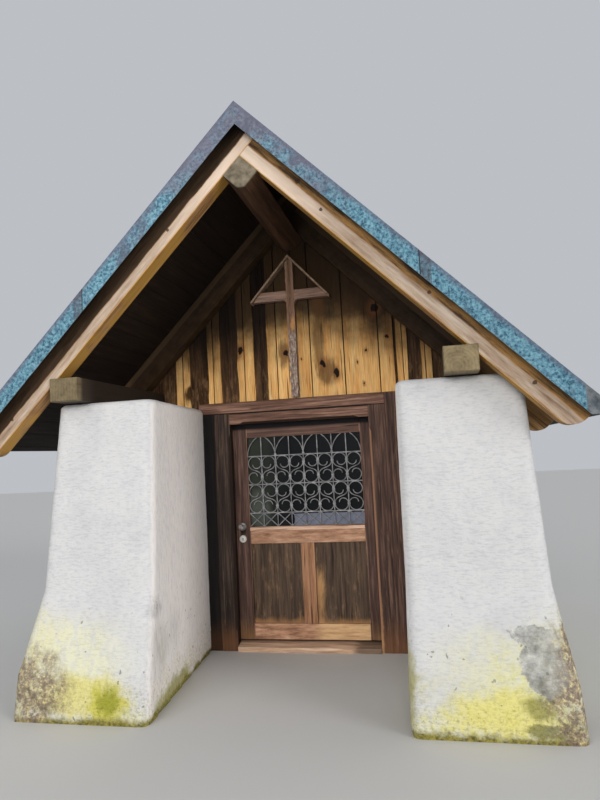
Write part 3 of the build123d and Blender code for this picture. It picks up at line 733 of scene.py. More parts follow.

# %% [markdown]
# ## Roof timbers
# The rafters' ends face the weather. Their lower half has bleached to a pale pinkish grey, while a band
# under the flashing stayed golden, and so did the undersides. On the left rafter that band is painted near
# black as painted shadow of the flashing, and the rafters inside the porch are painted dark as painted shade
# under the roof. The finish finds that band from the height over the rafter's lower edge, which is the
# height plus the slope times the distance from the middle. The wall plates and the ridge beam are older,
# greyer, with the rings showing on their cut ends. The plates carry painted shade on the left and further
# in.

# %% Rafters
# Each knot's way out from the ridge, its height over the lower edge, and its size
RAFTER_KNOTS = (
    (0.345, 0.100, 0.014), (0.475, 0.060, 0.009), (1.050, 0.085, 0.010), (1.560, 0.070, 0.011)
)
for side, name in ((-1, "left"), (1, "right")):
    down_slope = (0.0, side * (math.pi / 2 - ROOF_PITCH), 0.0)
    rafter_wood = timber(
        f"{name}_rafter_wood",
        tint(118, 82, 48),
        tint(168, 126, 80),
        tint(204, 166, 116),
        turn=down_slope,
        coarse=0.8,
    )
    place = rafter_wood.place
    ripple = clouds(place, 5.0, 4.0)
    across = times(axis_of(place, "X"), side * RISE)
    above = reckon("ADD", axis_of(place, "Z"), across)
    square_height = times(reckon("SUBTRACT", above, RAFTER_APEX), 1.0 / SQUARE)
    low_band = scaled_sum(ripple, 0.024, square_height)
    pale_top = {-1: 0.073, 1: 0.088}[side]
    weathered = fade(low_band, pale_top + 0.010, pale_top - 0.004)
    weathered = times(weathered, fade(low_band, 0.012, 0.024))
    outside = fade(axis_of(place, "Y"), DOOR_FRONT - 1.236, DOOR_FRONT - 1.244)
    weathered = times(weathered, outside)
    drawn = moved(moved(place, turn=down_slope), (30, 30, 3))
    pale = colours(
        clouds(drawn, 1.0, 6.0, 0.7),
        (0.30, tint(112, 92, 76)),
        (0.44, tint(160, 140, 122)),
        (0.56, tint(182, 165, 149)),
        (0.72, tint(202, 189, 175)),
    )
    near_ridge = fade(reach_of(place), 0.75, 0.10)
    pale = blend(times(near_ridge, 0.6), pale, tint(240, 220, 202))
    rafter_wood.paint(pale, weathered, 0.88)
    # The band under the flashing: on the left a near-black painted shadow of the flashing, on the right a
    # golden brown that the flashing kept from the rain
    top_band = times(fade(low_band, pale_top, pale_top + 0.010), outside)
    stain_and_shadow = {-1: (tint(10, 9, 9), tint(44, 34, 27)), 1: (tint(44, 32, 24), tint(152, 114, 66))}[side]
    band_stain_and_shadow = colours(clouds(drawn, 0.8, 6.0, 0.7), (0.42, stain_and_shadow[0]), (0.58, stain_and_shadow[1]))
    rafter_wood.paint(band_stain_and_shadow, top_band, 0.93)
    golden = times(fade(square_height, 0.008, 0.002), fade(ripple, 0.40, 0.56))
    rafter_wood.paint(tint(184, 140, 62), golden, 0.7)
    for along, height, size in RAFTER_KNOTS:
        knot_x = side * along
        centre = (knot_x, DOOR_FRONT - 1.244, roof_line(knot_x, height))
        knot = fade(spot(stirred(place, 30.0, 0.02), centre, (size * 1.6, 0.05, size * 1.6)), 0.1, 0.4)
        rafter_wood.paint(tint(52, 36, 26), knot, 0.85)
    reach = reach_of(place)
    # Painted shade: the rafters inside the porch are painted near black under the roof, a little lighter at
    # their tops
    indoors = fade(axis_of(place, "Y"), DOOR_FRONT - 1.05, DOOR_FRONT - 0.95)
    indoors = times(indoors, fade(reach, 1.50, 1.30))
    porch_shade_tone = colours(clouds(place, 14.0, 5.0, 0.6), (0.36, tint(26, 19, 16)), (0.66, tint(54, 41, 32)))
    upper = fade(scaled_sum(ripple, 0.02, square_height), 0.122, 0.130)
    porch_shade_tone = blend(times(upper, 0.6), porch_shade_tone, tint(92, 76, 58))
    rafter_wood.paint(porch_shade_tone, indoors, 0.92)
    dress(f"{name}_rafters", rafter_wood)
    soften(f"{name}_rafters", 0.006)
    print(name, "rafters finished")

# %% Wall plates
plate_wood = timber(
    "plate_wood", tint(88, 78, 56), tint(122, 108, 80), tint(148, 134, 104), grain="Y", depth=0.0016
)
place = plate_wood.place
rings = new_node("TexWave", place)
rings.wave_type = "RINGS"
rings.rings_direction = "Y"
feed(rings.inputs["Vector"], moved(place, shift=(-PLATE_INNER - 0.07, 0.0, -1.90)))
rings.inputs["Scale"].default_value = 16.0
rings.inputs["Distortion"].default_value = 3.0
rings.inputs["Detail"].default_value = 3.0
ring_colour = colours(rings.outputs["Fac"], (0.2, tint(120, 106, 78)), (0.8, tint(178, 166, 132)))
plate_wood.paint(ring_colour, 0.16)
smudges = colours(clouds(place, 11.0, 5.0, 0.65), (0.34, tint(84, 72, 54)), (0.62, tint(146, 130, 100)))
plate_wood.paint(smudges, 0.45)
# Painted shade: the left plate is darker, less so on its front end, and both plates go near black further in
shaded = fade(axis_of(place, "X"), 0.2, -0.2)
end_light = fade(axis_of(place, "Y"), DOOR_FRONT - 1.180, DOOR_FRONT - 1.235)
shaded = times(shaded, scaled_sum(end_light, -0.72, 0.92))
plate_wood.paint(tint(50, 42, 36), shaded)
inner_shade = fade(axis_of(place, "Y"), DOOR_FRONT - 1.21, DOOR_FRONT - 1.02)
plate_wood.paint(tint(36, 29, 25), inner_shade, 0.85)
for name in ("left_wall_plate", "right_wall_plate"):
    dress(name, plate_wood)
    soften(name, 0.004)
print("wall plates finished")

# %% Ridge beam
beam_wood = timber("beam_wood", tint(52, 36, 28), tint(84, 60, 44), tint(116, 88, 66), grain="Y")
place = beam_wood.place
end_share = fade(axis_of(place, "Y"), DOOR_FRONT - 1.235, DOOR_FRONT - 1.249)
end_grain = colours(clouds(place, 26.0, 5.0, 0.6), (0.30, tint(86, 78, 64)), (0.70, tint(132, 122, 104)))
beam_wood.paint(end_grain, end_share)
dress("ridge_beam", beam_wood)
soften("ridge_beam", 0.006)
print("roof timbers finished")

# %% [markdown]
# ## Boards
# Gable and roof are boarded. The old front has two layers: broad slabs with their bark left on behind, and
# pale planed boards nailed over them, so dark bark shows in the open joints. A board is a box cut into
# short lengths, whose side edges are pushed in and out by noise where the sawyer left the tree's own edge,
# and whose ends are cut by the planes of the roof. Each board writes its own number, for its pattern, and
# its own tone.

# %% Board helpers
GABLE_CUT = 0.158


def add_board(shape, left, right, low, high, front, back, wane=(0.0, 0.0), number=0, finish=0, seed=0.0):
    """An upright board from depth front to back. wane is how wavy its left and right edges are."""
    earlier = len(shape.verts)
    vertices = add_block(shape, (left, front, low), (right, back, high))
    edges = {edge for vertex in vertices for edge in vertex.link_edges}
    tall = [edge for edge in edges if abs(edge.verts[0].co.z - edge.verts[1].co.z) > (high - low) / 2.0]
    bmesh.ops.subdivide_edges(shape, edges=tall, cuts=max(2, int((high - low) / 0.035)), use_grid_fill=True)
    parts = list(shape.verts)[earlier:]
    middle = (left + right) / 2.0
    for vertex in parts:
        side = 0 if vertex.co.x < middle else 1
        wave = noise.noise(Vector((seed * 7.1 + side * 3.3, seed * 2.7, vertex.co.z * 4.0)))
        wave += 0.4 * noise.noise(Vector((seed * 3.1, side * 5.3, vertex.co.z * 17.0)))
        vertex.co.x += (1 if side == 0 else -1) * wane[side] * (0.5 + wave)
    for face in {face for vertex in parts for face in vertex.link_faces}:
        face[shape.faces.layers.float["board"]] = number
        face.material_index = finish


def cut_by_roof(shape):
    """Cuts away what stands above the gables' part of the roof, on both slopes."""
    for side in (-1, 1):
        slope_way = (side * math.sin(ROOF_PITCH), 0.0, math.cos(ROOF_PITCH))
        cut_away(shape, (0.0, 0.0, roof_line(0.0, GABLE_CUT)), slope_way)


def board_coat(name, dark, middle, light, rough=0.75, depth=0.0015):
    """Timber for boards, with the tone of each board from its number."""
    coat = timber(name, dark, middle, light, rough=rough, depth=depth, boards=True)
    number = painted(coat.place, "board")
    tone = new_node("TexWhiteNoise", number)
    tone.noise_dimensions = "1D"
    feed(tone.inputs["W"], number)
    shade = colours(tone.outputs["Value"], (0.0, (0.72, 0.70, 0.68, 1.0)), (1.0, (1.0, 1.0, 1.0, 1.0)))
    coat.paint(shade, way="MULTIPLY")
    return coat


print("board helpers ready")

# %% Pale boards
honey = board_coat("honey_boards", tint(232, 166, 94), tint(252, 198, 126), tint(255, 224, 162))
place = honey.place
# Darker towards the top: partly soot, partly painted shade under the roof
beside = reckon("ABSOLUTE", reckon("SUBTRACT", axis_of(place, "X"), 0.10))
soot_and_shade_height = scaled_sum(clouds(place, 3.5, 5.0, 0.6), 0.55, axis_of(place, "Z"))
soot_and_shade_height = scaled_sum(beside, 0.22, soot_and_shade_height)
soot_and_shade = fade(soot_and_shade_height, 2.48, 2.94)
honey.paint(tint(30, 20, 15), soot_and_shade, 0.96)
grained = stirred(moved(place, (1.0, 1.0, 0.6)), 22.0, 0.045)
grained = moved(grained, (1.0, 1.0, 1.0 / 0.6))
for stain_x, stain_z, wide, tall, amount in (
    (0.195, 2.34, 0.09, 0.40, 0.65),
    (0.255, 2.10, 0.15, 0.20, 0.75),
    (0.205, 2.60, 0.09, 0.16, 0.90),
    (-0.085, 2.26, 0.08, 0.20, 0.70),
    (0.440, 2.60, 0.20, 0.16, 0.35),
    (-0.455, 2.31, 0.06, 0.11, 0.50),
    (-0.873, 1.99, 0.09, 0.13, 1.00),
    (-0.873, 2.00, 0.07, 0.10, 1.00),
    (0.205, 2.64, 0.07, 0.10, 0.90),
    (0.730, 2.42, 0.05, 0.13, 0.50),
    (0.530, 1.986, 0.03, 0.06, 0.45),
):
    stain_and_shadow = spot(grained, (stain_x, GABLE_FACE, stain_z), (wide, 0.3, tall))
    stain_and_shadow = scaled_sum(drawn_out(place, (34, 34, 8)), 0.9, stain_and_shadow)
    stain_and_shadow = times(fade(stain_and_shadow, 0.60, 1.25), amount)
    honey.paint(tint(76, 52, 30), stain_and_shadow)
for knot_x, knot_z, size in (
    (0.220, 2.160, 0.034),
    (0.325, 2.080, 0.036),
    (0.640, 2.556, 0.042),
    (0.722, 2.330, 0.021),
    (0.561, 2.237, 0.013),
    (0.494, 2.150, 0.011),
    (0.530, 1.986, 0.013),
    (0.937, 2.167, 0.016),
    (-0.438, 2.318, 0.034),
    (-0.064, 2.267, 0.032),
    (0.060, 2.215, 0.008),
):
    centre = (knot_x, GABLE_FACE, knot_z)
    ring = spot(grained, centre, (size * 2.0, 0.3, size * 2.8))
    honey.paint(tint(118, 74, 38), ring, 0.7)
    heart = fade(spot(grained, centre, (size, 0.3, size * 1.15)), 0.08, 0.36)
    honey.paint(tint(26, 16, 12), heart)
print("pale boards ready")

# %% Bark boards
bark = board_coat("bark_boards", tint(40, 27, 19), tint(78, 56, 38), tint(122, 92, 66), depth=0.005)
place = bark.place
flakes = drawn_out(place, (38, 38, 11), 5.0, 0.7)
flakes = times(fade(flakes, 0.48, 0.66), fade(axis_of(place, "Z"), 2.45, 1.95))
bark.paint(tint(140, 108, 76), flakes, 0.55)
# Darker towards the top: partly soot, partly painted shade under the roof
soot_and_shade_height = scaled_sum(clouds(place, 3.5, 5.0, 0.6), 0.5, axis_of(place, "Z"))
bark.paint(tint(18, 13, 11), fade(soot_and_shade_height, 2.3, 2.8), 0.9)
print("bark boards ready")

# %% Front gable
# Each entry is the left and right edge of a board and how wavy those two edges are
FACE_BOARDS = (
    (-0.986, -0.931, 0.004, 0.001),
    (-0.924, -0.866, 0.001, 0.007),
    (-0.715, -0.671, 0.010, 0.001),
    (-0.664, -0.601, 0.001, 0.009),
    (-0.467, -0.411, 0.010, 0.001),
    (-0.403, -0.325, 0.001, 0.011),
    (-0.216, -0.143, 0.009, 0.001),
    (-0.136, -0.006, 0.001, 0.001),
    (0.001, 0.127, 0.001, 0.001),
    (0.135, 0.387, 0.001, 0.001),
    (0.395, 0.652, 0.001, 0.001),
    (0.660, 0.768, 0.001, 0.003),
    (0.787, 0.830, 0.003, 0.001),
    (0.836, 0.869, 0.001, 0.006),
    (0.964, 0.993, 0.006, 0.001),
    (0.999, 1.043, 0.001, 0.003),
)
BACK_EDGES = (
    -1.286, -1.10, -0.98, -0.79, -0.63, -0.53, -0.36, -0.27, -0.08,
    0.13, 0.36, 0.58, 0.78, 0.92, 1.02, 1.15, 1.286,
)
front_boards = bmesh.new()
front_boards.faces.layers.float.new("board")
for index, (left, right) in enumerate(zip(BACK_EDGES, BACK_EDGES[1:])):
    centre = abs(left + right) / 2.0
    low = PLATE_TOP if centre >= PLATE_INNER else (LINTEL_TOP if centre < 0.79 else WALL_TOP)
    add_board(
        front_boards, left + 0.001, right - 0.001, low, 3.5, GABLE_FACE + 0.016, GABLE_FACE + 0.029,
        number=index + 1, finish=1, seed=index,
    )
for index, (left, right, left_wane, right_wane) in enumerate(FACE_BOARDS):
    low = LINTEL_TOP if min(abs(left), abs(right)) < ROOM_HALF else WALL_TOP
    proud = 0.0015 * ((index * 5) % 3)
    add_board(
        front_boards, left, right, low + 0.001, 3.5, GABLE_FACE + proud, GABLE_FACE + 0.015,
        wane=(left_wane, right_wane), number=index + 30, finish=0, seed=index + 40.0,
    )
cut_by_roof(front_boards)
bmesh.ops.recalc_face_normals(front_boards, faces=front_boards.faces)
add_piece("front_gable_boards", front_boards, [honey, bark], ("front_gable",), smooth=30.0)

# %% Rear gable
# Nothing shows the back of the chapel, so it gets one plain layer of even boards
REAR_FACE = DOOR_FRONT + 1.610
rear_boards = bmesh.new()
rear_boards.faces.layers.float.new("board")
rear_edges = [-1.286 + 2.572 * step / 17 for step in range(18)]
for index, (left, right) in enumerate(zip(rear_edges, rear_edges[1:])):
    centre = abs(left + right) / 2.0
    low = PLATE_TOP if centre > PLATE_INNER else WALL_TOP
    add_board(
        rear_boards, left + 0.001, right - 0.001, low, 3.5, REAR_FACE, REAR_FACE + 0.030,
        wane=(0.001, 0.001), number=index + 60, finish=0, seed=index + 80.0,
    )
cut_by_roof(rear_boards)
bmesh.ops.recalc_face_normals(rear_boards, faces=rear_boards.faces)
add_piece("rear_gable_boards", rear_boards, [honey], ("rear_gable",), smooth=30.0)

# %% [markdown]
# ## Roof boarding
# The roof boards run from front to back on top of the rafters, and their undersides are the ceiling of the
# porch. A board is a box laid along the building and turned to the slope. The boards next to the ridge and
# the eaves are cut upright, as the CAD roof is.

# %% Roof boards
soffit = timber(
    "soffit_boards", tint(20, 15, 13), tint(34, 25, 20), tint(52, 39, 30), grain="Y", boards=True
)
BOARD_PITCH = 0.121
for side, name in ((-1, "left"), (1, "right")):
    deck = bmesh.new()
    deck.faces.layers.float.new("board")
    slope = Matrix.Rotation(side * ROOF_PITCH, 4, "Y")
    length = DECK_REACH / math.cos(ROOF_PITCH) + 0.2
    count = int(length / BOARD_PITCH) + 1
    for index in range(count):
        start = index * BOARD_PITCH - 0.2
        vertices = add_block(
            deck,
            (side * (start + 0.001), DECK_FRONT, 0.161),
            (side * (start + BOARD_PITCH - 0.001), DECK_BACK, 0.191),
        )
        for face in {face for vertex in vertices for face in vertex.link_faces}:
            face[deck.faces.layers.float["board"]] = index + 1
        bmesh.ops.transform(deck, matrix=Matrix.Translation((0, 0, RAFTER_APEX)) @ slope, verts=vertices)
    for place_x, normal_x in ((0.001 * side, -side), (DECK_REACH * side, side)):
        cut_away(deck, (place_x, 0, 0), (normal_x, 0, 0))
    bmesh.ops.recalc_face_normals(deck, faces=deck.faces)
    add_piece(f"{name}_roof_boarding", deck, [soffit], (f"{name}_roof_boards",))

# %% [markdown]
# ## Copper
# The flashings are sheet copper. Rain has turned the faces blue-green with fine speckles, and near the
# ridge they are still violet grey. Two noises of different size make the speckle, and the height moves the
# balance.

# %% Copper finish
VERGE_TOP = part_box("left_verge_flashing")[1][2]
LAP = 1.039
LAP_EDGE = 1.010
END_PIECE = 1.784


def copper(name, weather):
    """Weathered sheet copper. weather is how far the patina has gone."""
    coat = Coat(name, 0.5, 0.3)
    place = coat.place
    broad = clouds(place, 4.5, 5.0, 0.6)
    fine = clouds(place, 64.0, 3.0, 0.65)
    patina = colours(
        fine,
        (0.34, tint(38, 66, 84)),
        (0.42, tint(64, 104, 124)),
        (0.50, tint(86, 130, 148)),
        (0.66, tint(122, 164, 178)),
    )
    bare = colours(fine, (0.34, tint(84, 86, 100)), (0.64, tint(112, 116, 132)))
    height = axis_of(place, "Z")
    share = scaled_sum(broad, 1.1, times(height, -0.55))
    coat.paint(bare)
    coat.paint(patina, fade(share, -1.35 + weather, -0.95 + weather))
    streaks = drawn_out(place, (9, 9, 3), 5.0, 0.7)
    coat.paint(tint(76, 78, 94), fade(streaks, 0.54, 0.70), 0.6)
    reach = reach_of(place)
    depth_below = reckon("SUBTRACT", VERGE_TOP, scaled_sum(reach, RISE, height))
    rim = scaled_sum(broad, 0.05, depth_below)
    coat.paint(tint(92, 90, 108), fade(rim, 0.075, 0.040), 0.6)
    lap = reckon("ABSOLUTE", reckon("SUBTRACT", reach, LAP))
    lap = times(fade(lap, 0.034, 0.026), 0.55)
    coat.paint(tint(74, 66, 74), lap)
    edge_line = reckon("ABSOLUTE", reckon("SUBTRACT", reach, LAP_EDGE))
    coat.paint(tint(30, 30, 36), fade(edge_line, 0.004, 0.0015))
    end_piece = colours(clouds(place, 22.0, 5.0, 0.7), (0.36, tint(66, 68, 72)), (0.62, tint(122, 124, 126)))
    coat.paint(end_piece, fade(reach, END_PIECE, END_PIECE + 0.006), 0.9)
    coat.press(reckon("ADD", clouds(place, 3.0), times(fine, 0.06)), 0.5, 0.01)
    return coat


edge_copper = copper("edge_copper", 0.0)
roof_copper = copper("roof_copper", -0.5)
folded_edge = Coat("folded_copper_edge", 0.45, 0.5)
folded_tone = colours(clouds(folded_edge.place, 18.0), (0.35, tint(70, 84, 96)), (0.65, tint(142, 158, 168)))
folded_edge.paint(folded_tone)
for name in ("left_verge_flashing", "right_verge_flashing", "left_eaves_flashing", "right_eaves_flashing"):
    dress(name, edge_copper)
    soften(name, 0.0016, segments=1, arris=folded_edge)
for name in ("left_roof_sheet", "right_roof_sheet", "ridge_cap"):
    dress(name, roof_copper)
    soften(name, 0.0015, segments=1)
print("copper finished")

# %% [markdown]
# ## Door frame
# Posts, lintel, head and jambs are oak that has gone dark purplish brown, with lighter arrises where hands
# and shoulders rub. The jambs' feet are wet and have kept a reddish gold.

# %% Door frame
LINTEL_JOINT = 1.818


def frame_wood(name, grain, dark, middle, light, reveal, foot_amount=0.35):
    """Oak of the frame, redder at its wet foot, with the reveal in painted light and shade and a painted
    shadow in the lintel joint.
    """
    coat = timber(name, dark, middle, light, grain=grain, rough=0.62, coarse=1.6, depth=0.0018)
    place = coat.place
    worn_way = {"X": (3.2, 60, 60), "Z": (60, 60, 3.2)}[grain]
    worn = fade(drawn_out(place, worn_way, 4.0, 0.6), 0.56, 0.68)
    coat.paint(light, worn, 0.55)
    height = axis_of(place, "Z")
    foot = fade(scaled_sum(clouds(place, 8.0), 0.2, height), 0.36, 0.14)
    coat.paint(tint(150, 100, 62), foot, foot_amount)
    streak = spot(stirred(place, 14.0, 0.03), (0.545, DOOR_FRONT, 0.16), (0.034, 0.1, 0.72))
    coat.paint(tint(182, 138, 98), fade(streak, 0.1, 0.7), 0.75)
    # Painted light and shade: the faces behind the frame's front take the reveal's tone
    behind = fade(axis_of(place, "Y"), DOOR_FRONT + 0.003, DOOR_FRONT + 0.007)
    coat.paint(reveal, behind, 0.85)
    # Painted shadow: a near-black line in the joint under the lintel
    joint_shadow = reckon("ABSOLUTE", reckon("SUBTRACT", height, LINTEL_JOINT))
    joint_shadow = times(fade(joint_shadow, 0.009, 0.004), 1.0 if grain == "X" else 0.0)
    coat.paint(tint(14, 9, 8), joint_shadow)
    return coat


shadow_tone = tint(22, 15, 14)
# The left post and jamb, and their arrises, are painted darker: painted shade beside the left wing
shaded_post_oak = frame_wood(
    "shaded_left_post_oak", "Z", tint(9, 8, 9), tint(18, 15, 16), tint(38, 32, 30), shadow_tone, 0.15
)
shaded_left_oak = frame_wood(
    "shaded_left_frame_oak", "Z", tint(30, 24, 22), tint(56, 45, 40), tint(104, 86, 74), tint(40, 28, 22)
)
right_oak = frame_wood(
    "right_frame_oak", "Z", tint(42, 30, 28), tint(80, 60, 53), tint(140, 108, 90), tint(160, 120, 94)
)
level_oak = frame_wood(
    "level_frame_oak", "X", tint(54, 37, 33), tint(120, 88, 74), tint(186, 148, 126), shadow_tone
)
worn_oak = timber("worn_oak_edge", tint(96, 70, 60), tint(138, 108, 92), tint(182, 148, 126), rough=0.6)
shaded_arris = timber("shaded_oak_edge", tint(20, 15, 14), tint(44, 35, 31), tint(88, 72, 62), rough=0.6)
for name, coat, arris in (
    ("left_post", shaded_post_oak, shaded_arris),
    ("left_jamb", shaded_left_oak, shaded_arris),
    ("right_post", right_oak, None),
    ("right_jamb", right_oak, worn_oak),
    ("door_head", level_oak, worn_oak),
    ("lintel", level_oak, None),
):
    dress(name, coat)
    soften(name, 0.005, arris=arris)
print("posts, jambs and lintel finished")

# %% Threshold
step_wood = timber(
    "threshold_wood", tint(126, 92, 74), tint(206, 170, 142), tint(242, 216, 192), grain="X"
)
place = step_wood.place
edge_dirt = fade(axis_of(place, "Y"), DOOR_FRONT + 0.02, DOOR_FRONT + 0.07)
step_wood.paint(tint(70, 46, 38), edge_dirt, 0.7)
wet_end = fade(axis_of(place, "X"), 0.20, 0.46)
wet_end = scaled_sum(drawn_out(place, (9, 40, 60), 5.0, 0.7), 1.1, wet_end)
step_wood.paint(tint(56, 46, 38), fade(wet_end, 0.95, 1.45), 0.7)
dress("threshold", step_wood)
soften("threshold", 0.006, angle=20.0)
print("frame finished")

# %% [markdown]
# ## Door leaf
# Stiles, rails, a muntin and two panels under a glazed window. The stiles are almost black at the top, where
# painted shadow lies under the frame's head. Rain has bleached the bottom rail, the muntin's foot and the
# weather sill to a light worn brown.

# %% Stiles and muntin
LEAF_TOP = 1.748


def leaf_wood(name, grain, dark, middle, light):
    """Oak of the leaf, with a painted shadow under the frame's head."""
    coat = timber(name, dark, middle, light, grain=grain, rough=0.6, coarse=1.5, depth=0.0018)
    head_shadow = fade(axis_of(coat.place, "Z"), LEAF_TOP - 0.070, LEAF_TOP - 0.048)
    coat.paint(tint(10, 7, 7), head_shadow)
    return coat


stile_wood = leaf_wood("stile_wood", "Z", tint(44, 31, 29), tint(84, 63, 56), tint(134, 104, 92))
place = stile_wood.place
foot = fade(scaled_sum(clouds(place, 6.0), 0.25, axis_of(place, "Z")), 0.36, 0.16)
stile_wood.paint(tint(150, 110, 66), foot, 0.5)
# Painted shadow: a dark spot on the stile under the knob
knob_shadow = spot(place, (-0.494, LEAF_FRONT, 0.893), (0.036, 0.2, 0.040))
stile_wood.paint(tint(20, 14, 13), fade(knob_shadow, 0.0, 0.6), 0.85)

muntin_wood = leaf_wood("muntin_wood", "Z", tint(118, 82, 60), tint(166, 121, 90), tint(196, 154, 122))
print("stiles and muntin ready")

# %% Panels
panel_wood = leaf_wood("panel_wood", "Z", tint(46, 36, 30), tint(82, 66, 54), tint(112, 92, 76))
place = panel_wood.place
flecks = drawn_out(place, (30, 30, 7), 5.0, 0.62)
panel_wood.paint(tint(136, 110, 86), fade(flecks, 0.50, 0.76), 0.5)
foot = fade(scaled_sum(clouds(place, 9.0), 0.10, axis_of(place, "Z")), 0.29, 0.23)
panel_wood.paint(tint(182, 134, 88), foot, 0.6)
left_edge = reckon("SUBTRACT", axis_of(place, "X"), 0.069)
gold = times(fade(left_edge, 0.105, 0.02), fade(left_edge, -0.02, 0.0))
gold = times(gold, fade(axis_of(place, "Z"), 0.72, 0.48))
gold = fade(scaled_sum(flecks, 2.2, gold), 1.20, 2.60)
panel_wood.paint(tint(178, 136, 92), gold)
print("panels ready")

# %% Rails
rail_wood = leaf_wood("rail_wood", "X", tint(62, 45, 40), tint(104, 79, 69), tint(148, 116, 100))
place = rail_wood.place
height = axis_of(place, "Z")
bleached = colours(
    drawn_out(place, (7, 7, 30), 5.0, 0.65),
    (0.32, tint(116, 82, 64)),
    (0.48, tint(178, 134, 105)),
    (0.66, tint(214, 172, 142)),
)
middle_rail = times(fade(height, 0.78, 0.79), fade(height, 0.94, 0.93))
low_rail = fade(height, 0.25, 0.22)
worn_share = reckon("MAXIMUM", times(middle_rail, 0.74), times(low_rail, 0.88))
rail_wood.paint(bleached, worn_share)
golden = times(low_rail, fade(axis_of(place, "X"), 0.0, 0.14))
golden_grain = drawn_out(place, (5, 5, 40), 5.0, 0.6)
golden_tone = colours(golden_grain, (0.3, tint(166, 124, 84)), (0.7, tint(240, 204, 152)))
rail_wood.paint(golden_tone, golden, 0.7)
print("rails ready")

# %% Dress the leaf
worn_leaf = leaf_wood("worn_leaf_edge", "Z", tint(92, 68, 56), tint(142, 108, 88), tint(188, 150, 124))
for name, coat in (
    ("door_stiles", stile_wood),
    ("door_muntin", muntin_wood),
    ("door_panels", panel_wood),
    ("door_rails", rail_wood),
):
    dress(name, coat)
    soften(name, 0.0035, arris=None if name == "door_panels" else worn_leaf)
sill_wood = timber("sill_wood", tint(176, 134, 108), tint(220, 182, 156), tint(240, 212, 190), grain="X")
dress("window_sill", sill_wood)
soften("window_sill", 0.002)
print("leaf finished")

# %% Glass
# A pane of old glass, slightly wavy so that reflections bend. Its colour is painted almost black, as painted
# shade of the dark room behind it, with painted reflections over that: green-grey on the left, a paler
# blotch low on the left and a pale blue band low on the right.
pane = Coat("window_pane", 0.05)
place = pane.place
pane.inputs["Transmission Weight"].default_value = 0.25
pane.inputs["IOR"].default_value = 1.45
pane.inputs["Specular IOR Level"].default_value = 0.15
reflection_band = fade(axis_of(place, "Z"), GLASS_LOW + 0.098, GLASS_LOW + 0.086)
reflection_band = times(reflection_band, fade(axis_of(place, "X"), -0.10, -0.07))
reflection_band = scaled_sum(clouds(place, 30.0), 0.5, times(reflection_band, 0.7))
reflection_band = fade(reflection_band, 0.5, 0.95)
left_reflection = fade(axis_of(place, "X"), -0.10, -0.40)
pane.paint((0.006, 0.007, 0.008, 1.0))
pane.paint(tint(58, 64, 54), left_reflection, 0.8)
reflection_blotch = spot(stirred(place, 12.0, 0.06), (-0.36, LEAF_FRONT, 1.06), (0.13, 0.2, 0.22))
pane.paint(tint(92, 98, 90), fade(reflection_blotch, 0.0, 0.5), 0.75)
pane.paint(tint(128, 134, 152), reflection_band)
pane.press(clouds(place, 9.0, 2.0), 0.15, 0.01)
dress("door_glass", pane)
print("pane finished")

# %% [markdown]
# ## Wrought-iron grille
# This is the piece that a smith would be proud of: seven upright bars, three level ones, two rows of S
# scrolls that mirror each other, arches above and crossed bars below, with a collar round every place where
# a scroll touches a bar. A smith bends a bar round a peg, and spin does the same: it turns a ring of points
# about a centre and leaves a tube behind. Five spins and one straight pull, each from where the last one
# ended, make one S.

# %% Grille sizes
CELLS = 8
CELL = (CLEAR_RIGHT - CLEAR_LEFT) / CELLS
BAR = 0.009
STRIP = 0.0078
GRILLE_Y = LEAF_FRONT + 0.0075
ARCH_RISE = 0.148
ARCH_ROW = GLASS_HIGH - ARCH_RISE
CROSS_ROW = GLASS_LOW + 0.105
HEART_ROW = (ARCH_ROW + CROSS_ROW) / 2.0
SCROLL_RADIUS = CELL / 2.0 - 0.004
SCROLL_RISE = (ARCH_ROW - HEART_ROW) / 2.0 - SCROLL_RADIUS - 0.003
SCROLL_FALL = math.acos(SCROLL_RADIUS / SCROLL_RISE)
ARCH_RUN = CELL - 0.033
ARCH_RADIUS = (ARCH_RUN**2 + ARCH_RISE**2) / (2.0 * ARCH_RUN)
ARCH_SWEEP = math.asin(ARCH_RISE / ARCH_RADIUS)
print("cell", round(CELL, 4), "scroll radius", round(SCROLL_RADIUS, 4))


# %% Bending bars
def bar_ring(shape, at, along, thick, deep):
    """The oval end of a bar at a point, ready to be drawn out."""
    side = Vector((0.0, 1.0, 0.0)).cross(along).normalized()
    axes = Matrix((side, Vector((0.0, 1.0, 0.0)), along)).transposed().to_4x4()
    size = Matrix.Diagonal((thick / 2.0, deep / 2.0, 1.0, 1.0))
    return bmesh.ops.create_circle(
        shape, cap_ends=False, radius=1.0, segments=8, matrix=Matrix.Translation(at) @ axes @ size
    )["verts"]


def ring_edges(vertices):
    """The edges that join a ring's own vertices."""
    ring = set(vertices)
    return list({edge for vertex in ring for edge in vertex.link_edges if edge.other_vert(vertex) in ring})


def bend(shape, ring, centre, angle, steps):
    """Draws a ring of edges round a centre, as iron round a peg, and returns the new end."""
    result = bmesh.ops.spin(
        shape, geom=ring, cent=centre, axis=(0.0, -1.0, 0.0), angle=angle, steps=steps, use_duplicate=False
    )
    return [item for item in result["geom_last"] if isinstance(item, bmesh.types.BMEdge)]


def pull(shape, ring, way):
    """Draws a ring of edges straight on."""
    result = bmesh.ops.extrude_edge_only(shape, edges=ring)
    moved_points = [item for item in result["geom"] if isinstance(item, bmesh.types.BMVert)]
    bmesh.ops.translate(shape, verts=moved_points, vec=way)
    new_edges = [item for item in result["geom"] if isinstance(item, bmesh.types.BMEdge)]
    return [edge for edge in new_edges if all(vertex in moved_points for vertex in edge.verts)]


def add_bar(shape, start, end, thick, deep):
    """A straight bar from point to point."""
    way = Vector(end) - Vector(start)
    ring = ring_edges(bar_ring(shape, Vector(start), way.normalized(), thick, deep))
    bmesh.ops.holes_fill(shape, edges=ring)
    bmesh.ops.holes_fill(shape, edges=pull(shape, ring, way))


print("bar helpers ready")


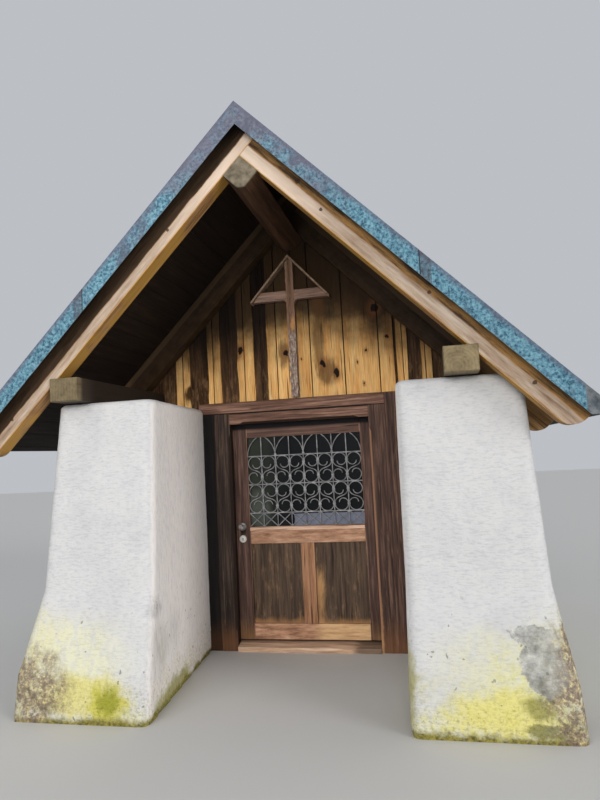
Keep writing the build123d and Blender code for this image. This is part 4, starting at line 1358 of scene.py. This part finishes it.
# %% Scrolls and collars
def add_scroll(shape, x, z, turn):
    """An S scroll in the middle of a cell, running down to the right, or to the left with turn -1."""
    curl = 0.76 * SCROLL_RADIUS
    inner = 0.76 * curl
    middle = Vector((x, GRILLE_Y, z))

    def at(across, height):
        return middle + Vector((turn * across, 0.0, height))

    quarter = turn * math.pi / 2.0
    round_turn = turn * (math.radians(270.0) - SCROLL_FALL)
    start = at(SCROLL_RADIUS - curl - inner, SCROLL_RISE - curl + inner)
    ring = ring_edges(bar_ring(shape, start, Vector((0.0, 0.0, -1.0)), STRIP, BAR))
    bmesh.ops.holes_fill(shape, edges=ring)
    ring = bend(shape, ring, at(SCROLL_RADIUS - curl, SCROLL_RISE - curl + inner), quarter, 5)
    ring = bend(shape, ring, at(SCROLL_RADIUS - curl, SCROLL_RISE), quarter, 6)
    ring = bend(shape, ring, at(0.0, SCROLL_RISE), round_turn, 15)
    leave = math.radians(270.0) - SCROLL_FALL
    first = Vector((SCROLL_RADIUS * math.cos(leave), 0.0, SCROLL_RISE + SCROLL_RADIUS * math.sin(leave)))
    ring = pull(shape, ring, Vector((turn * -2.0 * first.x, 0.0, -2.0 * first.z)))
    ring = bend(shape, ring, at(0.0, -SCROLL_RISE), -round_turn, 15)
    ring = bend(shape, ring, at(curl - SCROLL_RADIUS, -SCROLL_RISE), -quarter, 6)
    ring = bend(shape, ring, at(curl - SCROLL_RADIUS, curl - inner - SCROLL_RISE), -quarter, 5)
    bmesh.ops.holes_fill(shape, edges=ring)


def add_collar(shape, x, z, width, height):
    """A collar forged round a bar and the scrolls beside it, swollen in the middle."""
    size = Matrix.Diagonal((width / 2.0, 0.0068, height / 2.0, 1.0))
    place = Matrix.Translation((x, GRILLE_Y - 0.0005, z))
    bmesh.ops.create_uvsphere(shape, u_segments=10, v_segments=8, radius=1.0, matrix=place @ size)


print("scroll helpers ready")

# %% Forge the grille
grille = bmesh.new()
for index in range(1, CELLS):
    x = CLEAR_LEFT + index * CELL
    add_bar(grille, (x, GRILLE_Y, GLASS_LOW), (x, GRILLE_Y, GLASS_HIGH), BAR, BAR)
    for row in ((ARCH_ROW + HEART_ROW) / 2.0, (HEART_ROW + CROSS_ROW) / 2.0):
        for level in (row - SCROLL_RISE, row + SCROLL_RISE):
            add_collar(grille, x, level, 0.025, 0.036)
    if index % 2 == 0:
        add_collar(grille, x, ARCH_ROW + 0.009, 0.022, 0.026)
for height in (ARCH_ROW, HEART_ROW, CROSS_ROW):
    add_bar(grille, (CLEAR_LEFT, GRILLE_Y, height), (CLEAR_RIGHT, GRILLE_Y, height), BAR, BAR * 0.9)
for index in range(CELLS):
    middle = CLEAR_LEFT + (index + 0.5) * CELL
    turn = 1 if index % 2 == 0 else -1
    add_scroll(grille, middle, (ARCH_ROW + HEART_ROW) / 2.0, turn)
    add_scroll(grille, middle, (HEART_ROW + CROSS_ROW) / 2.0, -turn)
    foot = Vector((middle - turn * CELL / 2.0, GRILLE_Y, ARCH_ROW))
    ring = ring_edges(bar_ring(grille, foot, Vector((0.0, 0.0, 1.0)), STRIP, BAR))
    bmesh.ops.holes_fill(grille, edges=ring)
    peg = foot + Vector((turn * ARCH_RADIUS, 0.0, 0.0))
    ring = bend(grille, ring, peg, -turn * ARCH_SWEEP, 7)
    bmesh.ops.holes_fill(grille, edges=ring)
    low_left = (middle - CELL / 2.0 + 0.002, GRILLE_Y + 0.001, GLASS_LOW + 0.004)
    high_right = (middle + CELL / 2.0, GRILLE_Y + 0.001, CROSS_ROW)
    high_left = (middle - CELL / 2.0, GRILLE_Y - 0.001, CROSS_ROW)
    low_right = (middle + CELL / 2.0 - 0.002, GRILLE_Y - 0.001, GLASS_LOW + 0.004)
    add_bar(grille, low_left, high_right, STRIP, 0.007)
    add_bar(grille, high_left, low_right, STRIP, 0.007)
bmesh.ops.recalc_face_normals(grille, faces=grille.faces)
print("grille forged with", len(grille.faces), "faces")

# %% [markdown]
# ## Iron
# The grille was once painted silver grey. The paint has gone matt and dusty, and the crossed bars below are
# darker and bluer.

# %% Iron finish
iron = Coat("grey_iron", 0.5, 0.3)
place = iron.place
dust = clouds(place, 26.0, 4.0, 0.6)
iron.paint(
    colours(dust, (0.3, tint(104, 104, 108)), (0.5, tint(150, 151, 154)), (0.7, tint(192, 192, 194)))
)
low_bars = fade(axis_of(place, "Z"), CROSS_ROW - 0.006, CROSS_ROW - 0.014)
iron.paint(tint(96, 98, 108), low_bars, 0.45)
iron.press(clouds(place, 160.0, 3.0), 0.4, 0.0008)
add_piece("scroll_grille", grille, [iron], ("door_grille",), body="door", smooth=45.0)

# %% Hinge iron
dark_iron = plain_coat(
    "dark_iron", 0.55, 0.7, 40.0, (0.35, tint(46, 40, 38)), (0.65, tint(92, 82, 76)), 200.0, 0.4, 0.0006
)
for name in ("frame_hinges", "door_hinges"):
    dress(name, dark_iron)
    soften(name, 0.001, angle=50.0)
print("hinges finished")

# %% [markdown]
# ## Knob and rosette
# Both were turned on a lathe, so each is one profile spun about an axis through the door: points for the
# profile, edges between them, a full spin with the last ring merged to the first, and the two poles closed.

# %% Lathe
LOCK_X = -0.497
KNOB_Z = 0.930
ROSETTE_Z = 0.835


def turned(profile, x, z, steps=40):
    """A lathe-turned shape from points of distance in front of the leaf and radius."""
    shape = bmesh.new()
    points = [shape.verts.new((x, LEAF_FRONT - out, z + radius)) for out, radius in profile]
    edges = [shape.edges.new(pair) for pair in zip(points, points[1:])]
    bmesh.ops.spin(
        shape, geom=points + edges, cent=(x, LEAF_FRONT, z), axis=(0.0, 1.0, 0.0),
        angle=math.tau, steps=steps, use_merge=True, use_duplicate=False,
    )
    bmesh.ops.remove_doubles(shape, verts=shape.verts, dist=0.00001)
    bmesh.ops.recalc_face_normals(shape, faces=shape.faces)
    return shape


print("lathe ready")

# %% Knob
knob = turned(
    (
        (0.0, 0.0), (0.0, 0.030), (0.003, 0.030), (0.0062, 0.027), (0.0075, 0.0215), (0.0078, 0.015),
        (0.010, 0.012), (0.016, 0.010), (0.026, 0.010), (0.034, 0.0125), (0.040, 0.0195), (0.0455, 0.0238),
        (0.051, 0.025), (0.056, 0.023), (0.0597, 0.0175), (0.0615, 0.009), (0.062, 0.0),
    ),
    LOCK_X,
    KNOB_Z,
)
brass = plain_coat(
    "worn_knob", 0.34, 0.9, 60.0, (0.35, tint(122, 118, 116)), (0.65, tint(206, 202, 198)), 90.0, 0.2, 0.0008
)
add_piece("turned_knob", knob, [brass], ("door_knob",), body="door", smooth=40.0)

# %% Rosette
rosette = turned(
    (
        (0.0, 0.0), (0.0, 0.0285), (0.0065, 0.0285), (0.0090, 0.0262), (0.0100, 0.0225), (0.0094, 0.0130),
        (0.0100, 0.0110), (0.0104, 0.0096), (0.0100, 0.0082), (0.0090, 0.0076), (0.0090, 0.0),
    ),
    LOCK_X,
    ROSETTE_Z,
)
steel = Coat("bright_rosette", 0.42, 0.45)
place = steel.place
steel.paint(colours(clouds(place, 70.0), (0.3, tint(196, 196, 190)), (0.7, tint(232, 232, 226))))
keyhole = spot(place, (LOCK_X, LEAF_FRONT - 0.01, ROSETTE_Z + 0.003), (0.0065, 0.1, 0.0065))
key_slot = spot(place, (LOCK_X, LEAF_FRONT - 0.01, ROSETTE_Z - 0.005), (0.0042, 0.1, 0.0120))
keyhole = fade(reckon("MAXIMUM", keyhole, key_slot), 0.1, 0.3)
steel.paint(tint(34, 32, 32), keyhole)
steel.press(clouds(place, 160.0), 0.15, 0.0005)
add_piece("lock_plate", rosette, [steel], ("lock_rosette",), body="door", smooth=35.0)

# %% [markdown]
# ## Cross
# The upright is a split branch: smooth and grey-brown at the top, rough and bark-mottled below, with a
# golden patch under the arm. A box cut into many short lengths, with its points moved in by noise, gets the
# hewn look.

# %% Hewn upright
CROSS_FRONT = GABLE_FACE - 0.050
cross_low, cross_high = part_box("cross_upright")
upright_shape = bmesh.new()
add_block(upright_shape, (-0.032, CROSS_FRONT, cross_low[2]), (0.032, GABLE_FACE, cross_high[2]))
tall = [edge for edge in upright_shape.edges if abs(edge.verts[0].co.z - edge.verts[1].co.z) > 0.3]
bmesh.ops.subdivide_edges(upright_shape, edges=tall, cuts=54, use_grid_fill=True)
wide = [edge for edge in upright_shape.edges if abs(edge.verts[0].co.z - edge.verts[1].co.z) < 0.001]
bmesh.ops.subdivide_edges(upright_shape, edges=wide, cuts=3, use_grid_fill=True)
for vertex in upright_shape.verts:
    roughness = 0.0035 + 0.0065 * min(max((2.42 - vertex.co.z) / 0.1, 0.0), 1.0)
    lump = noise.noise(vertex.co * 26.0) + 0.6 * noise.noise(vertex.co * 60.0)
    middle = Vector((0.0, (CROSS_FRONT + GABLE_FACE) / 2.0, vertex.co.z))
    outward = vertex.co - middle
    if vertex.co.y < GABLE_FACE - 0.001:
        vertex.co -= outward.normalized() * roughness * (0.45 + lump)
roof_slope = math.tan(math.radians(48.0))
for side in (-1, 1):
    cut_away(upright_shape, (0.0, 0.0, cross_high[2]), (side * roof_slope, 0.0, 1.0))
bmesh.ops.recalc_face_normals(upright_shape, faces=upright_shape.faces)
print("upright hewn from", len(upright_shape.verts), "points")

# %% Branch wood
branch = timber(
    "branch_wood", tint(86, 64, 52), tint(140, 110, 90), tint(178, 148, 124), rough=0.8, depth=0.002
)
place = branch.place
height = axis_of(place, "Z")
mottle = drawn_out(place, (90, 90, 20), 5.0, 0.7)
bark_colour = colours(
    mottle,
    (0.34, tint(76, 60, 54)),
    (0.48, tint(134, 114, 102)),
    (0.60, tint(172, 156, 146)),
    (0.74, tint(212, 204, 198)),
)
bark_share = fade(scaled_sum(mottle, 0.1, height), 2.52, 2.42)
branch.paint(bark_colour, bark_share)
gold = spot(stirred(place, 24.0, 0.05), (0.012, CROSS_FRONT, 2.480), (0.038, 0.1, 0.120))
gold = scaled_sum(mottle, 0.9, gold)
branch.paint(tint(192, 140, 86), fade(gold, 0.7, 1.3), 0.75)
add_piece("cross_upright_hewn", upright_shape, [branch], ("cross_upright",), smooth=50.0)

# %% Cross arms and roof
arm_wood = timber(
    "arm_wood", tint(96, 72, 62), tint(150, 122, 108), tint(188, 162, 146), grain="X", rough=0.8
)
dress("cross_arms", arm_wood)
soften("cross_arms", 0.004)
slat_wood = timber(
    "slat_wood", tint(110, 88, 70), tint(152, 128, 106), tint(184, 162, 140), grain="X", rough=0.8
)
dress("cross_roof", slat_wood)
soften("cross_roof", 0.002)
print("cross finished")

# %% [markdown]
# ## Stone floor
# The room's floor is hardly seen. Its finish is worn stone with narrow joints.

# %% Stone floor
stone = Coat("floor_stone", 0.8)
place = stone.place
slabs = new_node("TexBrick", place)
feed(slabs.inputs["Vector"], place)
slabs.inputs["Scale"].default_value = 1.0
slabs.inputs["Brick Width"].default_value = 0.5
slabs.inputs["Row Height"].default_value = 0.4
slabs.inputs["Mortar Size"].default_value = 0.006
slabs.inputs["Color1"].default_value = tint(150, 144, 132)
slabs.inputs["Color2"].default_value = tint(128, 122, 112)
slabs.inputs["Mortar"].default_value = tint(84, 80, 74)
grit = colours(clouds(place, 60.0), (0.3, (0.7, 0.7, 0.7, 1.0)), (0.7, (1.0, 1.0, 1.0, 1.0)))
stone.paint(slabs.outputs["Color"])
stone.paint(grit, way="MULTIPLY")
stone.press(clouds(place, 60.0), 0.3, 0.002)
dress("floor", stone)
print("floor finished")
